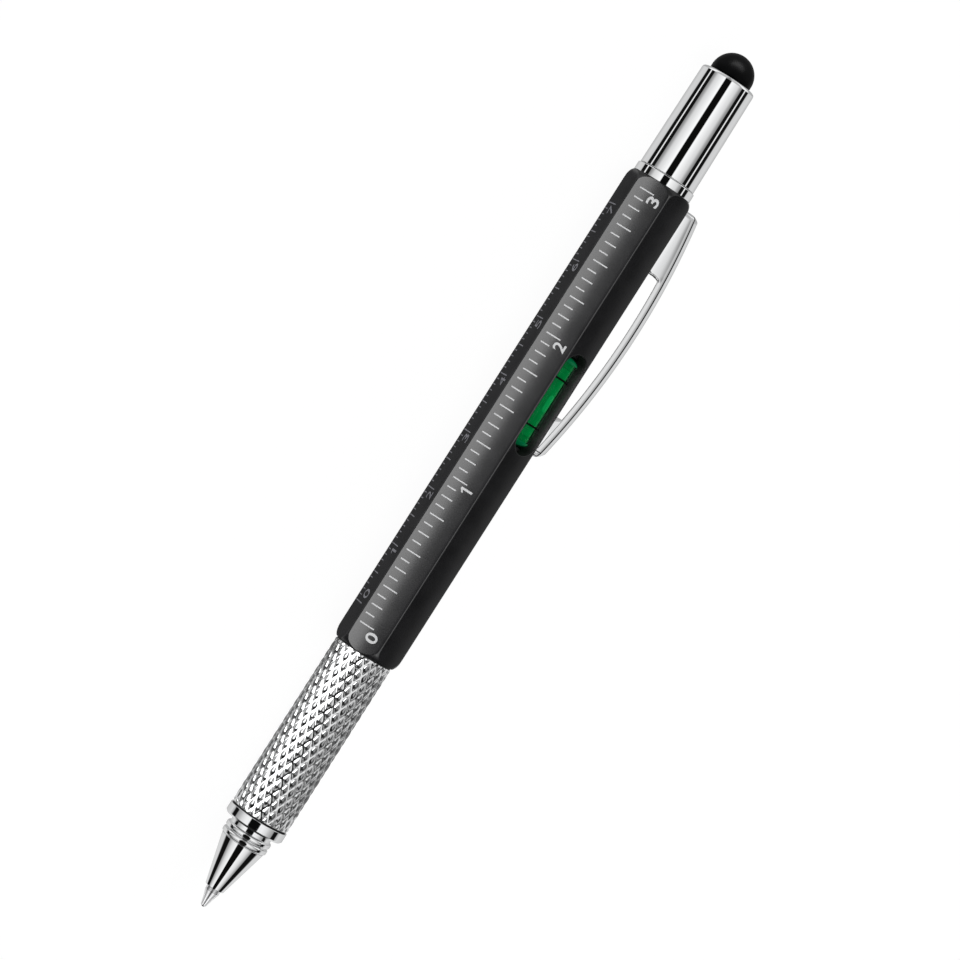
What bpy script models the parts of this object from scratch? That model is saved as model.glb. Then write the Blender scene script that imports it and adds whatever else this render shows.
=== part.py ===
"""Multi tool pen: a twist ballpoint in a hexagonal ruler barrel, with a spirit level, a spring clip,
and a stylus cap over a double-ended screwdriver bit.

The pen lies on the hexagon's flat opposite the level, with its writing tip towards +X. Every turned
piece is drawn upright, its Z running from the writing tip to the cap, and hangs from the empty
pen_axis, which lays that Z along the pen. Round the axis, 0 degrees is the level's face, 60 degrees
the clip's, -60 degrees the inch rule's and -120 degrees the metric rule's.
"""

import math

import bmesh
import bpy
from mathutils import Matrix, Vector

# Fits
SEAT_GAP = 0.00005
RUNNING_GAP = 0.0001
JOINT_LINE = 0.0001
OVERRUN = 0.002
WELD_DISTANCE = 0.000001

# Refill: a standard 67 mm by 2.3 mm mini ballpoint refill
REFILL_LENGTH = 0.067
REFILL_RADIUS = 0.00115
REFILL_WALL = 0.00025
BALL_RADIUS = 0.00035
BALL_PLAY = 0.00004
BALL_EXPOSED_SHARE = 0.7
LIP_THICKNESS = 0.00008
POINT_LENGTH = 0.00265
POINT_BODY_LENGTH = 0.0072
POINT_SHANK_LENGTH = 0.002
INK_CHANNEL_RADIUS = 0.0002
INK_LENGTH = 0.046

# Nose cone
POINT_EXTENSION = 0.0033
MOUTH_RADIUS = 0.00153
MOUTH_LENGTH = 0.0012
NOSE_BORE_RADIUS = 0.0017
CONE_LENGTH = 0.008
CONE_TOP_RADIUS = 0.00355
BEAD_RISE = 0.00023
BEAD_LENGTH = 0.0011
BEAD_COUNT = 2
BEAD_NECK_DEPTH = 0.0002
COLLAR_RADIUS = 0.00485
COLLAR_LENGTH = 0.0017
COLLAR_CHAMFER = 0.0003
COLLAR_GAP = 0.0006
NOSE_SHANK_LENGTH = 0.007

# Knurled grip
GRIP_LENGTH = 0.029
GRIP_BORE_RADIUS = 0.0037
KNURL_RADIUS = 0.00479
KNURL_DEPTH = 0.00022
KNURLS_AROUND = 24
KNURL_ROWS = 20
GRIP_RIM_LENGTH = 0.00025
GRIP_RIM_DEPTH = 0.00018

# Grip bush, which carries the grip in the barrel
BUSH_IN_GRIP = 0.008
BUSH_IN_BARREL = 0.0055
BUSH_BORE_RADIUS = 0.0021
BUSH_STEP_WALL = 0.0006
RING_GROOVE_DEPTH = 0.0004
RING_WIRE_RADIUS = 0.00024

# Twist mechanism
TWIST_TRAVEL = 0.005
TWIST_ANGLE = math.pi
GUIDE_WALL = 0.0004
CAM_WALL = 0.0005
PIN_RADIUS = 0.0004
PIN_CLEARANCE = 0.00008
CARRIER_SOCKET_LENGTH = 0.008
CARRIER_HEAD_LENGTH = 0.006

# Hexagonal barrel
APOTHEM = 0.004875
EDGE_RADIUS = 0.0006
BORE_RADIUS = 0.0034
END_STEP = 0.000025
TOP_CONE_LENGTH = 0.00125
BOTTOM_CONE_LENGTH = 0.0015
HEX_SIDES = 6

# Spirit level
LEVEL_SETBACK = 0.00265
SLOT_END_CLEARANCE = 0.00085
SLOT_SIDE_CLEARANCE = 0.00015
VIAL_LENGTH = 0.0156
VIAL_RADIUS = 0.00235
VIAL_WALL = 0.00035
VIAL_SINK = 0.00025
VIAL_DOME = 0.0011
PLUG_SHANK_LENGTH = 0.0009
MARKER_SPACING = 0.0081
MARKER_WIDTH = 0.00045
MARKER_THICKNESS = 0.00007
BUBBLE_LENGTH = 0.0034
BUBBLE_RADIUS = 0.00072
BUBBLE_CLEARANCE = 0.00008
CRADLE_END_WALL = 0.0013

# Cap bush, which holds the bit and carries the cap
FLANGE_RADIUS = 0.00485
FLANGE_LENGTH = 0.0013
FLANGE_EDGE = 0.0001
CAP_BUSH_DEPTH = 0.0142
CAP_BUSH_SETBACK = 0.0122
SPIGOT_LENGTH = 0.0052
SPIGOT_CHAMFER = 0.0002
CAP_RING_HEIGHT = 0.0024
MAGNET_RADIUS = 0.002
MAGNET_LENGTH = 0.003
MAGNET_LEDGE = 0.0006

# Screwdriver bit
BIT_LENGTH = 0.026
BIT_ACROSS_FLATS = 0.004
BIT_END_CLEARANCE = 0.0006
BIT_TIP_LENGTH = 0.0055
BIT_NECK_RADIUS = 0.0015
CROSS_POINT_RADIUS = 0.0005
CROSS_WING_THICKNESS = 0.0007
BLADE_THICKNESS = 0.0006
BLADE_ROOT_THICKNESS = 0.0018

# Stylus cap
CAP_TOP_RADIUS = 0.00445
CAP_TAPER = 0.00017
CAP_WALL = 0.0005
CAP_FIT = 0.0002
CAP_EDGE_RADIUS = 0.00045
CAP_END_WALL = 0.0013
STYLUS_HOLE_RADIUS = 0.0022
STYLUS_PLUG_LENGTH = 0.0012
STYLUS_STEM_LENGTH = 0.0018
DOME_RADIUS = 0.0034
DOME_SKIRT = 0.0006
DOME_EDGE = 0.0002

# Clip
CLIP_LENGTH = 0.0431
CLIP_TOP_SETBACK = 0.001
CLIP_WIDTH = 0.0032
CLIP_WALL = 0.0005
CLIP_DEPTH = 0.00205
CLIP_CROWN_RISE = 0.004625
CLIP_CROWN_SHARE = 0.457
CLIP_TIP_CLEARANCE = 0.00008
CLIP_ROOT_LENGTH = 0.0112
CLIP_EDGE_RADIUS = 0.0008
CLIP_END_RADIUS = 0.0009
CLIP_FILLET_RADIUS = 0.0006
FOOT_WIDTH = 0.0014
FOOT_LENGTH = 0.0062
FOOT_SLANT = 0.0013
LUG_WIDTH = 0.001
LUG_LENGTH = 0.0026
LUG_SETBACK = 0.0016
LUG_CLEARANCE = 0.0003

# Stations along the pen, measured from the writing tip
MOUTH_Z = POINT_EXTENSION
BEADS_Z = MOUTH_Z + CONE_LENGTH
COLLAR_Z = BEADS_Z + BEAD_COUNT * BEAD_LENGTH + COLLAR_GAP
GRIP_Z = COLLAR_Z + COLLAR_LENGTH + JOINT_LINE
BARREL_Z = GRIP_Z + GRIP_LENGTH + JOINT_LINE
SOCKET_FLOOR_Z = REFILL_LENGTH + SEAT_GAP
CARRIER_TOP_Z = SOCKET_FLOOR_Z + CARRIER_HEAD_LENGTH
CAM_TOP_Z = CARRIER_TOP_Z + TWIST_TRAVEL + RUNNING_GAP
GUIDE_TOP_Z = CAM_TOP_Z + RUNNING_GAP

# The level's slot and cradle are as long as its vial needs, above the mechanism
SLOT_LENGTH = VIAL_LENGTH + 2 * SLOT_END_CLEARANCE
SLOT_HALF_WIDTH = VIAL_RADIUS + SLOT_SIDE_CLEARANCE
CRADLE_LENGTH = SLOT_LENGTH + 2 * CRADLE_END_WALL
LEVEL_Z = GUIDE_TOP_Z + LEVEL_SETBACK + CRADLE_LENGTH / 2

# The barrel ends where the bush above the level has its depth, and the cap where it clears the bit
CAP_BUSH_Z = LEVEL_Z + CRADLE_LENGTH / 2 + CAP_BUSH_SETBACK
BARREL_TOP_Z = CAP_BUSH_Z + CAP_BUSH_DEPTH
BARREL_LENGTH = BARREL_TOP_Z - BARREL_Z
FLANGE_Z = BARREL_TOP_Z + JOINT_LINE
CAP_Z = FLANGE_Z + FLANGE_LENGTH + JOINT_LINE
MAGNET_Z = CAP_BUSH_Z + MAGNET_LEDGE + SEAT_GAP
BIT_Z = MAGNET_Z + MAGNET_LENGTH + RUNNING_GAP
STYLUS_PLUG_Z = BIT_Z + BIT_LENGTH + BIT_END_CLEARANCE
STYLUS_PLUG_TOP_Z = STYLUS_PLUG_Z + STYLUS_PLUG_LENGTH
CAP_LENGTH = STYLUS_PLUG_TOP_Z + SEAT_GAP + CAP_END_WALL - CAP_Z

# Radii of what runs inside the barrel, from its bore inwards
GUIDE_OUTER = BORE_RADIUS - SEAT_GAP
GUIDE_INNER = GUIDE_OUTER - GUIDE_WALL
CAM_OUTER = GUIDE_INNER - RUNNING_GAP
CAM_INNER = CAM_OUTER - CAM_WALL
CARRIER_OUTER = CAM_INNER - RUNNING_GAP

# Radii that follow a neighbour's
BEAD_RADIUS = CONE_TOP_RADIUS + BEAD_RISE
END_RADIUS = APOTHEM + END_STEP
CAP_BASE_RADIUS = CAP_TOP_RADIUS + CAP_TAPER
CAP_BORE_RADIUS = CAP_TOP_RADIUS - CAP_WALL
SPIGOT_RADIUS = CAP_BORE_RADIUS - CAP_FIT
BUBBLE_LIFT = VIAL_RADIUS - VIAL_WALL - BUBBLE_CLEARANCE - BUBBLE_RADIUS

# The clip's back is one long arc from its tip, which just clears the flat, over its crown
CLIP_CROWN_HEIGHT = APOTHEM + CLIP_CROWN_RISE
CLIP_CROWN_SETBACK = CLIP_LENGTH * CLIP_CROWN_SHARE
CLIP_TIP_REACH = CLIP_LENGTH - CLIP_CROWN_SETBACK
CLIP_TIP_DROP = CLIP_CROWN_RISE - CLIP_DEPTH - CLIP_TIP_CLEARANCE
CLIP_ARC_RADIUS = (CLIP_TIP_REACH**2 + CLIP_TIP_DROP**2) / (2 * CLIP_TIP_DROP)

ROUND_STEPS = 48
CAP_BUSH_STEPS = 36
GROOVE_STEPS = 16
INNER_STEPS = 24
ARC_STEPS = 4
CREASE_ANGLE = math.radians(30)
FACE_ANGLE = math.tau / HEX_SIDES
CLIP_FACE = FACE_ANGLE

COLLECTION_NAME = "multi_tool_pen"


def clear_scene():
    for obj in list(bpy.data.objects):
        bpy.data.objects.remove(obj, do_unlink=True)


def new_collection(name):
    made = bpy.data.collections.new(name)
    bpy.context.scene.collection.children.link(made)
    return made


def new_material(name, colour, roughness, metallic=0.0, alpha=1.0):
    made = bpy.data.materials.new(name)
    made.use_nodes = True
    shader = made.node_tree.nodes["Principled BSDF"]
    shader.inputs["Base Color"].default_value = (*colour, 1.0)
    shader.inputs["Roughness"].default_value = roughness
    shader.inputs["Metallic"].default_value = metallic
    shader.inputs["Alpha"].default_value = alpha
    return made


def new_materials():
    return {
        "chrome": new_material("chrome", (0.78, 0.78, 0.80), 0.08, 1.0),
        "knurled_chrome": new_material("knurled_chrome", (0.72, 0.72, 0.74), 0.18, 1.0),
        "black_lacquer": new_material("black_lacquer", (0.03, 0.03, 0.032), 0.35, 0.3),
        "brass": new_material("brass", (0.72, 0.55, 0.26), 0.3, 1.0),
        "steel": new_material("steel", (0.55, 0.55, 0.56), 0.3, 1.0),
        "tool_steel": new_material("tool_steel", (0.32, 0.32, 0.34), 0.35, 1.0),
        "dark_plastic": new_material("dark_plastic", (0.04, 0.04, 0.042), 0.55),
        "acetal": new_material("acetal", (0.75, 0.74, 0.70), 0.45),
        "clear_acrylic": new_material("clear_acrylic", (0.85, 0.95, 0.88), 0.05, 0.0, 0.25),
        "green_liquid": new_material("green_liquid", (0.0, 0.19, 0.06), 0.1),
        "air": new_material("air", (0.55, 0.85, 0.6), 0.05, 0.0, 0.5),
        "marker_black": new_material("marker_black", (0.01, 0.01, 0.01), 0.5),
        "ink": new_material("ink", (0.01, 0.01, 0.04), 0.3),
        "rubber": new_material("rubber", (0.015, 0.015, 0.016), 0.6),
    }


def new_object(name, mesh, spot, where, angle=0.0):
    """Hangs a mesh from the pen's axis at the given place, turned about the pen's axis."""
    made = bpy.data.objects.new(name, mesh)
    where.objects.link(made)
    made.parent = bpy.data.objects["pen_axis"]
    made.location = spot
    made.rotation_euler = (0.0, 0.0, angle)
    return made


def mark_creases(mesh):
    mesh.shade_smooth()
    mesh.set_sharp_from_angle(angle=CREASE_ANGLE)


def keep_evaluated_mesh(obj):
    """Puts the object's evaluated mesh in place of its data and modifiers."""
    graph = bpy.context.evaluated_depsgraph_get()
    graph.update()
    mesh = bpy.data.meshes.new_from_object(obj.evaluated_get(graph))
    old = obj.data
    obj.modifiers.clear()
    obj.data = mesh
    bpy.data.meshes.remove(old)
    mark_creases(mesh)


def turned(name, outline, z, where, steps=INNER_STEPS, lift=0.0):
    """Revolves an outline of (radius, height) points, which runs down its outer side, about Z.

    An outline that starts and ends on the axis makes a solid piece, and any other is closed
    into a ring. lift moves the axis of the piece off the pen's, towards the level's face.
    """
    mesh = bpy.data.meshes.new(name)
    count = len(outline)
    edges = [(i, i + 1) for i in range(count - 1)]
    if outline[0][0] > 0.0:
        edges.append((count - 1, 0))
    mesh.from_pydata([(radius, 0.0, height) for radius, height in outline], edges, [])
    made = new_object(name, mesh, (lift, 0.0, z), where)
    screw = made.modifiers.new("turn", "SCREW")
    screw.axis = "Z"
    screw.angle = math.tau
    screw.steps = steps
    screw.render_steps = steps
    screw.use_merge_vertices = True
    screw.merge_threshold = WELD_DISTANCE
    keep_evaluated_mesh(made)
    return made


def tube(name, outer, inner, length, z, where, steps=INNER_STEPS, lift=0.0):
    outline = [(outer, length), (outer, 0.0), (inner, 0.0), (inner, length)]
    return turned(name, outline, z, where, steps, lift)


def rod(name, radius, length, z, where, steps=INNER_STEPS, lift=0.0):
    outline = [(0.0, length), (radius, length), (radius, 0.0), (0.0, 0.0)]
    return turned(name, outline, z, where, steps, lift)


def arc(centre, radii, start, end, steps=ARC_STEPS):
    """Points on an ellipse's arc between two angles in degrees, from the outward direction."""
    points = []
    for i in range(steps + 1):
        turn = math.radians(start + (end - start) * i / steps)
        points.append((centre[0] + radii[0] * math.cos(turn), centre[1] + radii[1] * math.sin(turn)))
    return points


def flat_solid(name, outline, thickness, where):
    """Fills a flat outline in XY and gives it a thickness along Z, centred on the outline."""
    data = bpy.data.curves.new(name, "CURVE")
    data.dimensions = "2D"
    data.fill_mode = "BOTH"
    data.extrude = thickness / 2
    spline = data.splines.new("POLY")
    spline.points.add(len(outline) - 1)
    for point, (x, y) in zip(spline.points, outline):
        point.co = (x, y, 0.0, 1.0)
    spline.use_cyclic_u = True
    drawn = bpy.data.objects.new(name, data)
    where.objects.link(drawn)
    graph = bpy.context.evaluated_depsgraph_get()
    mesh = bpy.data.meshes.new_from_object(drawn.evaluated_get(graph))
    bpy.data.objects.remove(drawn)
    bpy.data.curves.remove(data)
    shape = bmesh.new()
    shape.from_mesh(mesh)
    bmesh.ops.remove_doubles(shape, verts=shape.verts, dist=WELD_DISTANCE)
    bmesh.ops.dissolve_limit(
        shape, angle_limit=math.radians(0.5), verts=shape.verts, edges=shape.edges
    )
    bmesh.ops.recalc_face_normals(shape, faces=shape.faces)
    shape.to_mesh(mesh)
    shape.free()
    return mesh


def cutter(name, mesh, spot, cutters, angle=0.0):
    """A helper that a Boolean takes away or adds, left out of the model itself."""
    made = new_object(name, mesh, spot, cutters, angle)
    made.display_type = "WIRE"
    made.hide_render = True
    return made


def as_cutter(obj):
    obj.display_type = "WIRE"
    obj.hide_render = True
    return obj


def combine(obj, other, operation):
    boolean = obj.modifiers.new(other.name, "BOOLEAN")
    boolean.operation = operation
    boolean.solver = "EXACT"
    boolean.object = other


def box_mesh(name, size):
    shape = bmesh.new()
    bmesh.ops.create_cube(shape, size=1.0, matrix=Matrix.Diagonal((*size, 1.0)))
    mesh = bpy.data.meshes.new(name)
    shape.to_mesh(mesh)
    shape.free()
    return mesh


def hex_mesh(name, across_flats, length, edge_radius):
    """A hexagonal bar from Z = 0 up, with a flat facing +X and its long edges rounded."""
    shape = bmesh.new()
    corner = across_flats / 2 / math.cos(math.pi / HEX_SIDES)
    bmesh.ops.create_cone(
        shape,
        cap_ends=True,
        segments=HEX_SIDES,
        radius1=corner,
        radius2=corner,
        depth=length,
        matrix=Matrix.Translation((0.0, 0.0, length / 2)),
    )
    if edge_radius:
        long_edges = [e for e in shape.edges if abs(e.verts[0].co.z - e.verts[1].co.z) > length / 2]
        bmesh.ops.bevel(
            shape,
            geom=long_edges,
            offset=edge_radius * math.tan(math.pi / HEX_SIDES),
            segments=3,
            profile=0.5,
            affect="EDGES",
        )
    mesh = bpy.data.meshes.new(name)
    shape.to_mesh(mesh)
    shape.free()
    return mesh


def ball_mesh(name, radius):
    shape = bmesh.new()
    bmesh.ops.create_uvsphere(shape, u_segments=12, v_segments=8, radius=radius)
    mesh = bpy.data.meshes.new(name)
    shape.to_mesh(mesh)
    shape.free()
    mark_creases(mesh)
    return mesh


def ring_seal(name, groove_radius, z, material, parts):
    """A rubber ring of round wire, seated on the floor of its groove."""
    wire = arc((groove_radius + RING_WIRE_RADIUS + SEAT_GAP, 0.0), (RING_WIRE_RADIUS,) * 2, 360, 0, 6)
    seal = turned(name, wire[:-1], z, parts, ROUND_STEPS // 2)
    seal.data.materials.append(material)
    return seal


def make_refill(parts, materials):
    """The refill: a rolling ball in a turned point, and a tube of ink behind it."""
    sphere = ball_mesh("writing_ball", BALL_RADIUS)
    ball = new_object("writing_ball", sphere, (0.0, 0.0, BALL_RADIUS), parts)
    ball.data.materials.append(materials["steel"])

    lip = BALL_RADIUS * BALL_EXPOSED_SHARE
    seat_radius = BALL_RADIUS + BALL_PLAY
    seat_end = BALL_RADIUS * 2 + BALL_PLAY
    shank_radius = REFILL_RADIUS - REFILL_WALL - SEAT_GAP
    shank_end = POINT_BODY_LENGTH + POINT_SHANK_LENGTH
    point = turned(
        "refill_point",
        [
            (shank_radius, shank_end),
            (shank_radius, POINT_BODY_LENGTH),
            (REFILL_RADIUS, POINT_BODY_LENGTH),
            (REFILL_RADIUS, POINT_LENGTH),
            (seat_radius + LIP_THICKNESS, lip),
            (seat_radius, lip),
            (seat_radius, seat_end),
            (INK_CHANNEL_RADIUS, seat_end + INK_CHANNEL_RADIUS),
            (INK_CHANNEL_RADIUS, shank_end),
        ],
        0.0,
        parts,
    )
    point.data.materials.append(materials["steel"])

    tube_z = POINT_BODY_LENGTH + SEAT_GAP
    barrel = tube(
        "refill_tube", REFILL_RADIUS, REFILL_RADIUS - REFILL_WALL, REFILL_LENGTH - tube_z, tube_z, parts
    )
    barrel.data.materials.append(materials["brass"])
    ink_z = shank_end + RUNNING_GAP
    ink = rod("ink_column", shank_radius, INK_LENGTH, ink_z, parts, INNER_STEPS // 2)
    ink.data.materials.append(materials["ink"])


def bead_points(z):
    """The nose cone's rounded bead rings, from the top one down."""
    points = []
    rise = BEAD_RISE + BEAD_NECK_DEPTH
    for i in reversed(range(BEAD_COUNT)):
        centre = (BEAD_RADIUS - rise, z + (i + 0.5) * BEAD_LENGTH)
        points += arc(centre, (rise, BEAD_LENGTH / 2), 90, -90)
    return points


def make_nose_cone(parts, materials):
    """The chrome nose: cone, two bead rings and a collar, with a shank that screws into the grip."""
    shank_radius = GRIP_BORE_RADIUS - SEAT_GAP
    collar_top = COLLAR_Z + COLLAR_LENGTH
    shank_top = collar_top + NOSE_SHANK_LENGTH
    beads = bead_points(BEADS_Z)
    step = BEAD_NECK_DEPTH / 2
    outline = [
        (shank_radius, shank_top),
        (shank_radius, collar_top),
        (COLLAR_RADIUS, collar_top),
        (COLLAR_RADIUS, COLLAR_Z + COLLAR_CHAMFER),
        (COLLAR_RADIUS - COLLAR_CHAMFER, COLLAR_Z),
        (beads[0][0], COLLAR_Z),
        *merged(beads),
        (CONE_TOP_RADIUS, BEADS_Z - step),
        (MOUTH_RADIUS + step, MOUTH_Z + step),
        (MOUTH_RADIUS, MOUTH_Z),
        (REFILL_RADIUS + RUNNING_GAP, MOUTH_Z),
        (REFILL_RADIUS + RUNNING_GAP, MOUTH_Z + MOUTH_LENGTH),
        (NOSE_BORE_RADIUS, MOUTH_Z + MOUTH_LENGTH * 1.5),
        (NOSE_BORE_RADIUS, shank_top),
    ]
    cone = turned("nose_cone", outline, 0.0, parts, ROUND_STEPS)
    cone.data.materials.append(materials["chrome"])


def merged(points):
    """Drops each point that repeats the one before it."""
    kept = []
    for point in points:
        if not kept or math.dist(point, kept[-1]) > WELD_DISTANCE:
            kept.append(point)
    return kept


def make_grip(parts, materials):
    """The knurled grip: two families of crossing grooves leave staggered four-sided diamonds.

    The outer skin is a grid of half a diamond by half a diamond. On it every second point, as on
    a chess board, is a diamond's peak and the others lie in the grooves, and each square of the
    grid is split along its groove.
    """
    half_row = (GRIP_LENGTH - 2 * GRIP_RIM_LENGTH) / KNURL_ROWS
    groove = KNURL_RADIUS - KNURL_DEPTH
    rim = KNURL_RADIUS - GRIP_RIM_DEPTH
    steps = 2 * KNURLS_AROUND
    outline = [(rim, GRIP_LENGTH)]
    outline += [(groove, GRIP_RIM_LENGTH + row * half_row) for row in range(KNURL_ROWS, -1, -1)]
    outline += [(rim, 0.0), (GRIP_BORE_RADIUS, 0.0), (GRIP_BORE_RADIUS, GRIP_LENGTH)]
    grip = turned("grip_tube", outline, GRIP_Z, parts, steps)

    shape = bmesh.new()
    shape.from_mesh(grip.data)
    valleys = []
    for vert in shape.verts:
        radius = math.hypot(vert.co.x, vert.co.y)
        if abs(radius - groove) > KNURL_DEPTH / 10:
            continue
        row = round((vert.co.z - GRIP_RIM_LENGTH) / half_row)
        column = round(math.atan2(vert.co.y, vert.co.x) / math.tau * steps)
        if (row + column) % 2:
            valleys.append(vert)
        else:
            vert.co.x *= KNURL_RADIUS / groove
            vert.co.y *= KNURL_RADIUS / groove
    bmesh.ops.connect_verts(shape, verts=valleys)
    shape.to_mesh(grip.data)
    shape.free()
    for face in grip.data.polygons:
        face.use_smooth = False
    grip.data.materials.append(materials["knurled_chrome"])


def make_grip_bush(parts, materials):
    """The brass bush pressed into the grip, whose spigot turns in the barrel's lower end."""
    grip_top = GRIP_Z + GRIP_LENGTH
    in_grip = GRIP_BORE_RADIUS - SEAT_GAP
    in_barrel = BORE_RADIUS - RUNNING_GAP
    cam_seat = CAM_OUTER + SEAT_GAP
    top = BARREL_Z + BUSH_IN_BARREL
    groove_floor = in_barrel - RING_GROOVE_DEPTH - RING_WIRE_RADIUS / 4
    ring_z = BARREL_Z + BUSH_IN_BARREL / 4
    half_groove = RING_WIRE_RADIUS + RUNNING_GAP
    seat_floor = ring_z + half_groove + BUSH_STEP_WALL
    outline = [
        (in_barrel, top),
        (in_barrel, ring_z + half_groove),
        (groove_floor, ring_z + half_groove),
        (groove_floor, ring_z - half_groove),
        (in_barrel, ring_z - half_groove),
        (in_barrel, grip_top),
        (in_grip, grip_top),
        (in_grip, grip_top - BUSH_IN_GRIP),
        (BUSH_BORE_RADIUS, grip_top - BUSH_IN_GRIP),
        (BUSH_BORE_RADIUS, seat_floor),
        (cam_seat, seat_floor),
        (cam_seat, top),
    ]
    bush = turned("grip_bush", outline, 0.0, parts, ROUND_STEPS // 2)
    bush.data.materials.append(materials["brass"])
    ring_seal("grip_o_ring", groove_floor, ring_z, materials["rubber"], parts)
    return seat_floor


def helix_cutter(cutters, pin_z):
    """A bar that winds round the axis as it climbs: the cam's groove for the follower pin.

    It runs on past both ends of the pin's way, and its height makes up for its slant.
    """
    half_width = PIN_RADIUS + PIN_CLEARANCE
    rise = TWIST_TRAVEL / TWIST_ANGLE
    half_height = half_width * math.hypot(1.0, rise / CAM_INNER)
    run_on = half_width / CAM_INNER
    inner = CAM_INNER - OVERRUN / 4
    outer = CAM_OUTER + OVERRUN / 4
    shape = bmesh.new()
    corners = [(inner, -half_height), (outer, -half_height), (outer, half_height), (inner, half_height)]
    face = shape.faces.new([shape.verts.new((radius, 0.0, height)) for radius, height in corners])
    sweep = TWIST_ANGLE + 2 * run_on
    bmesh.ops.spin(
        shape,
        geom=[face, *face.edges, *face.verts],
        axis=(0.0, 0.0, 1.0),
        cent=(0.0, 0.0, 0.0),
        dvec=(0.0, 0.0, rise * sweep / GROOVE_STEPS),
        angle=sweep,
        steps=GROOVE_STEPS,
        use_duplicate=False,
    )
    bmesh.ops.recalc_face_normals(shape, faces=shape.faces)
    mesh = bpy.data.meshes.new("cam_groove")
    shape.to_mesh(mesh)
    shape.free()
    return cutter("cam_groove", mesh, (0.0, 0.0, pin_z - rise * run_on), cutters, -run_on)


def radial_bar(name, radius, inner, outer):
    """A round bar that stands out from the axis towards the level's face."""
    shape = bmesh.new()
    lie_out = Matrix.Translation(((inner + outer) / 2, 0.0, 0.0)) @ Matrix.Rotation(math.pi / 2, 4, "Y")
    bmesh.ops.create_cone(
        shape,
        cap_ends=True,
        segments=INNER_STEPS // 2,
        radius1=radius,
        radius2=radius,
        depth=outer - inner,
        matrix=lie_out,
    )
    mesh = bpy.data.meshes.new(name)
    shape.to_mesh(mesh)
    shape.free()
    return mesh


def slot_mesh(name, half_width, length, depth):
    """A bar with round ends along Z, cut from the axis outwards along X."""
    straight = length / 2 - half_width
    outline = arc((straight, 0.0), (half_width,) * 2, -90, 90, 8)
    outline += arc((-straight, 0.0), (half_width,) * 2, 90, 270, 8)
    mesh = flat_solid(name, outline, depth, bpy.context.scene.collection)
    stand = Matrix.Translation((depth / 2, 0.0, 0.0)) @ Matrix.Rotation(math.pi / 2, 4, "Y")
    mesh.transform(stand)
    return mesh


def make_twist_mechanism(parts, cutters, materials, cam_z):
    """Carrier, pin, cam and guide tube: a half turn of the grip draws the refill in by its travel."""
    pin_z = SOCKET_FLOOR_Z + CARRIER_HEAD_LENGTH / 2
    carrier_z = REFILL_LENGTH - CARRIER_SOCKET_LENGTH
    refill_bore = REFILL_RADIUS + SEAT_GAP
    carrier = turned(
        "refill_carrier",
        [
            (0.0, CARRIER_TOP_Z),
            (CARRIER_OUTER, CARRIER_TOP_Z),
            (CARRIER_OUTER, carrier_z),
            (refill_bore, carrier_z),
            (refill_bore, SOCKET_FLOOR_Z),
            (0.0, SOCKET_FLOOR_Z),
        ],
        0.0,
        parts,
    )
    pin_hole = radial_bar("pin_hole", PIN_RADIUS + SEAT_GAP, 0.0, CARRIER_OUTER + OVERRUN)
    combine(carrier, cutter("pin_hole", pin_hole, (0.0, 0.0, pin_z), cutters), "DIFFERENCE")
    carrier.data.materials.append(materials["acetal"])

    pin_mesh = radial_bar("follower_pin", PIN_RADIUS, SEAT_GAP, GUIDE_OUTER - SEAT_GAP)
    pin = new_object("follower_pin", pin_mesh, (0.0, 0.0, pin_z), parts)
    mark_creases(pin.data)
    pin.data.materials.append(materials["steel"])

    seated = cam_z + SEAT_GAP
    cam = tube("twist_cam", CAM_OUTER, CAM_INNER, CAM_TOP_Z - seated, seated, parts, ROUND_STEPS // 2)
    combine(cam, helix_cutter(cutters, pin_z), "DIFFERENCE")
    cam.data.materials.append(materials["acetal"])

    guide_z = BARREL_Z + BUSH_IN_BARREL + RUNNING_GAP
    guide_length = GUIDE_TOP_Z - guide_z
    guide = tube("guide_tube", GUIDE_OUTER, GUIDE_INNER, guide_length, guide_z, parts, ROUND_STEPS // 2)
    half_slot = PIN_RADIUS + PIN_CLEARANCE
    slot = slot_mesh("guide_slot", half_slot, TWIST_TRAVEL + 2 * half_slot, GUIDE_OUTER + OVERRUN)
    slot_z = pin_z + TWIST_TRAVEL / 2
    combine(guide, cutter("guide_slot", slot, (0.0, 0.0, slot_z), cutters), "DIFFERENCE")
    guide.data.materials.append(materials["brass"])


def end_envelope(cutters):
    """The turned outline that the hexagonal bar is faced to, with a cone at each end."""
    corner = (APOTHEM - EDGE_RADIUS) / math.cos(math.pi / HEX_SIDES) + EDGE_RADIUS
    rise = corner - END_RADIUS
    wide = corner + rise
    outline = [
        (0.0, BARREL_LENGTH),
        (END_RADIUS, BARREL_LENGTH),
        (wide, BARREL_LENGTH - 2 * TOP_CONE_LENGTH),
        (wide, 2 * BOTTOM_CONE_LENGTH),
        (END_RADIUS, 0.0),
        (0.0, 0.0),
    ]
    return as_cutter(turned("end_cones", outline, BARREL_Z, cutters, ROUND_STEPS))


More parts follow.
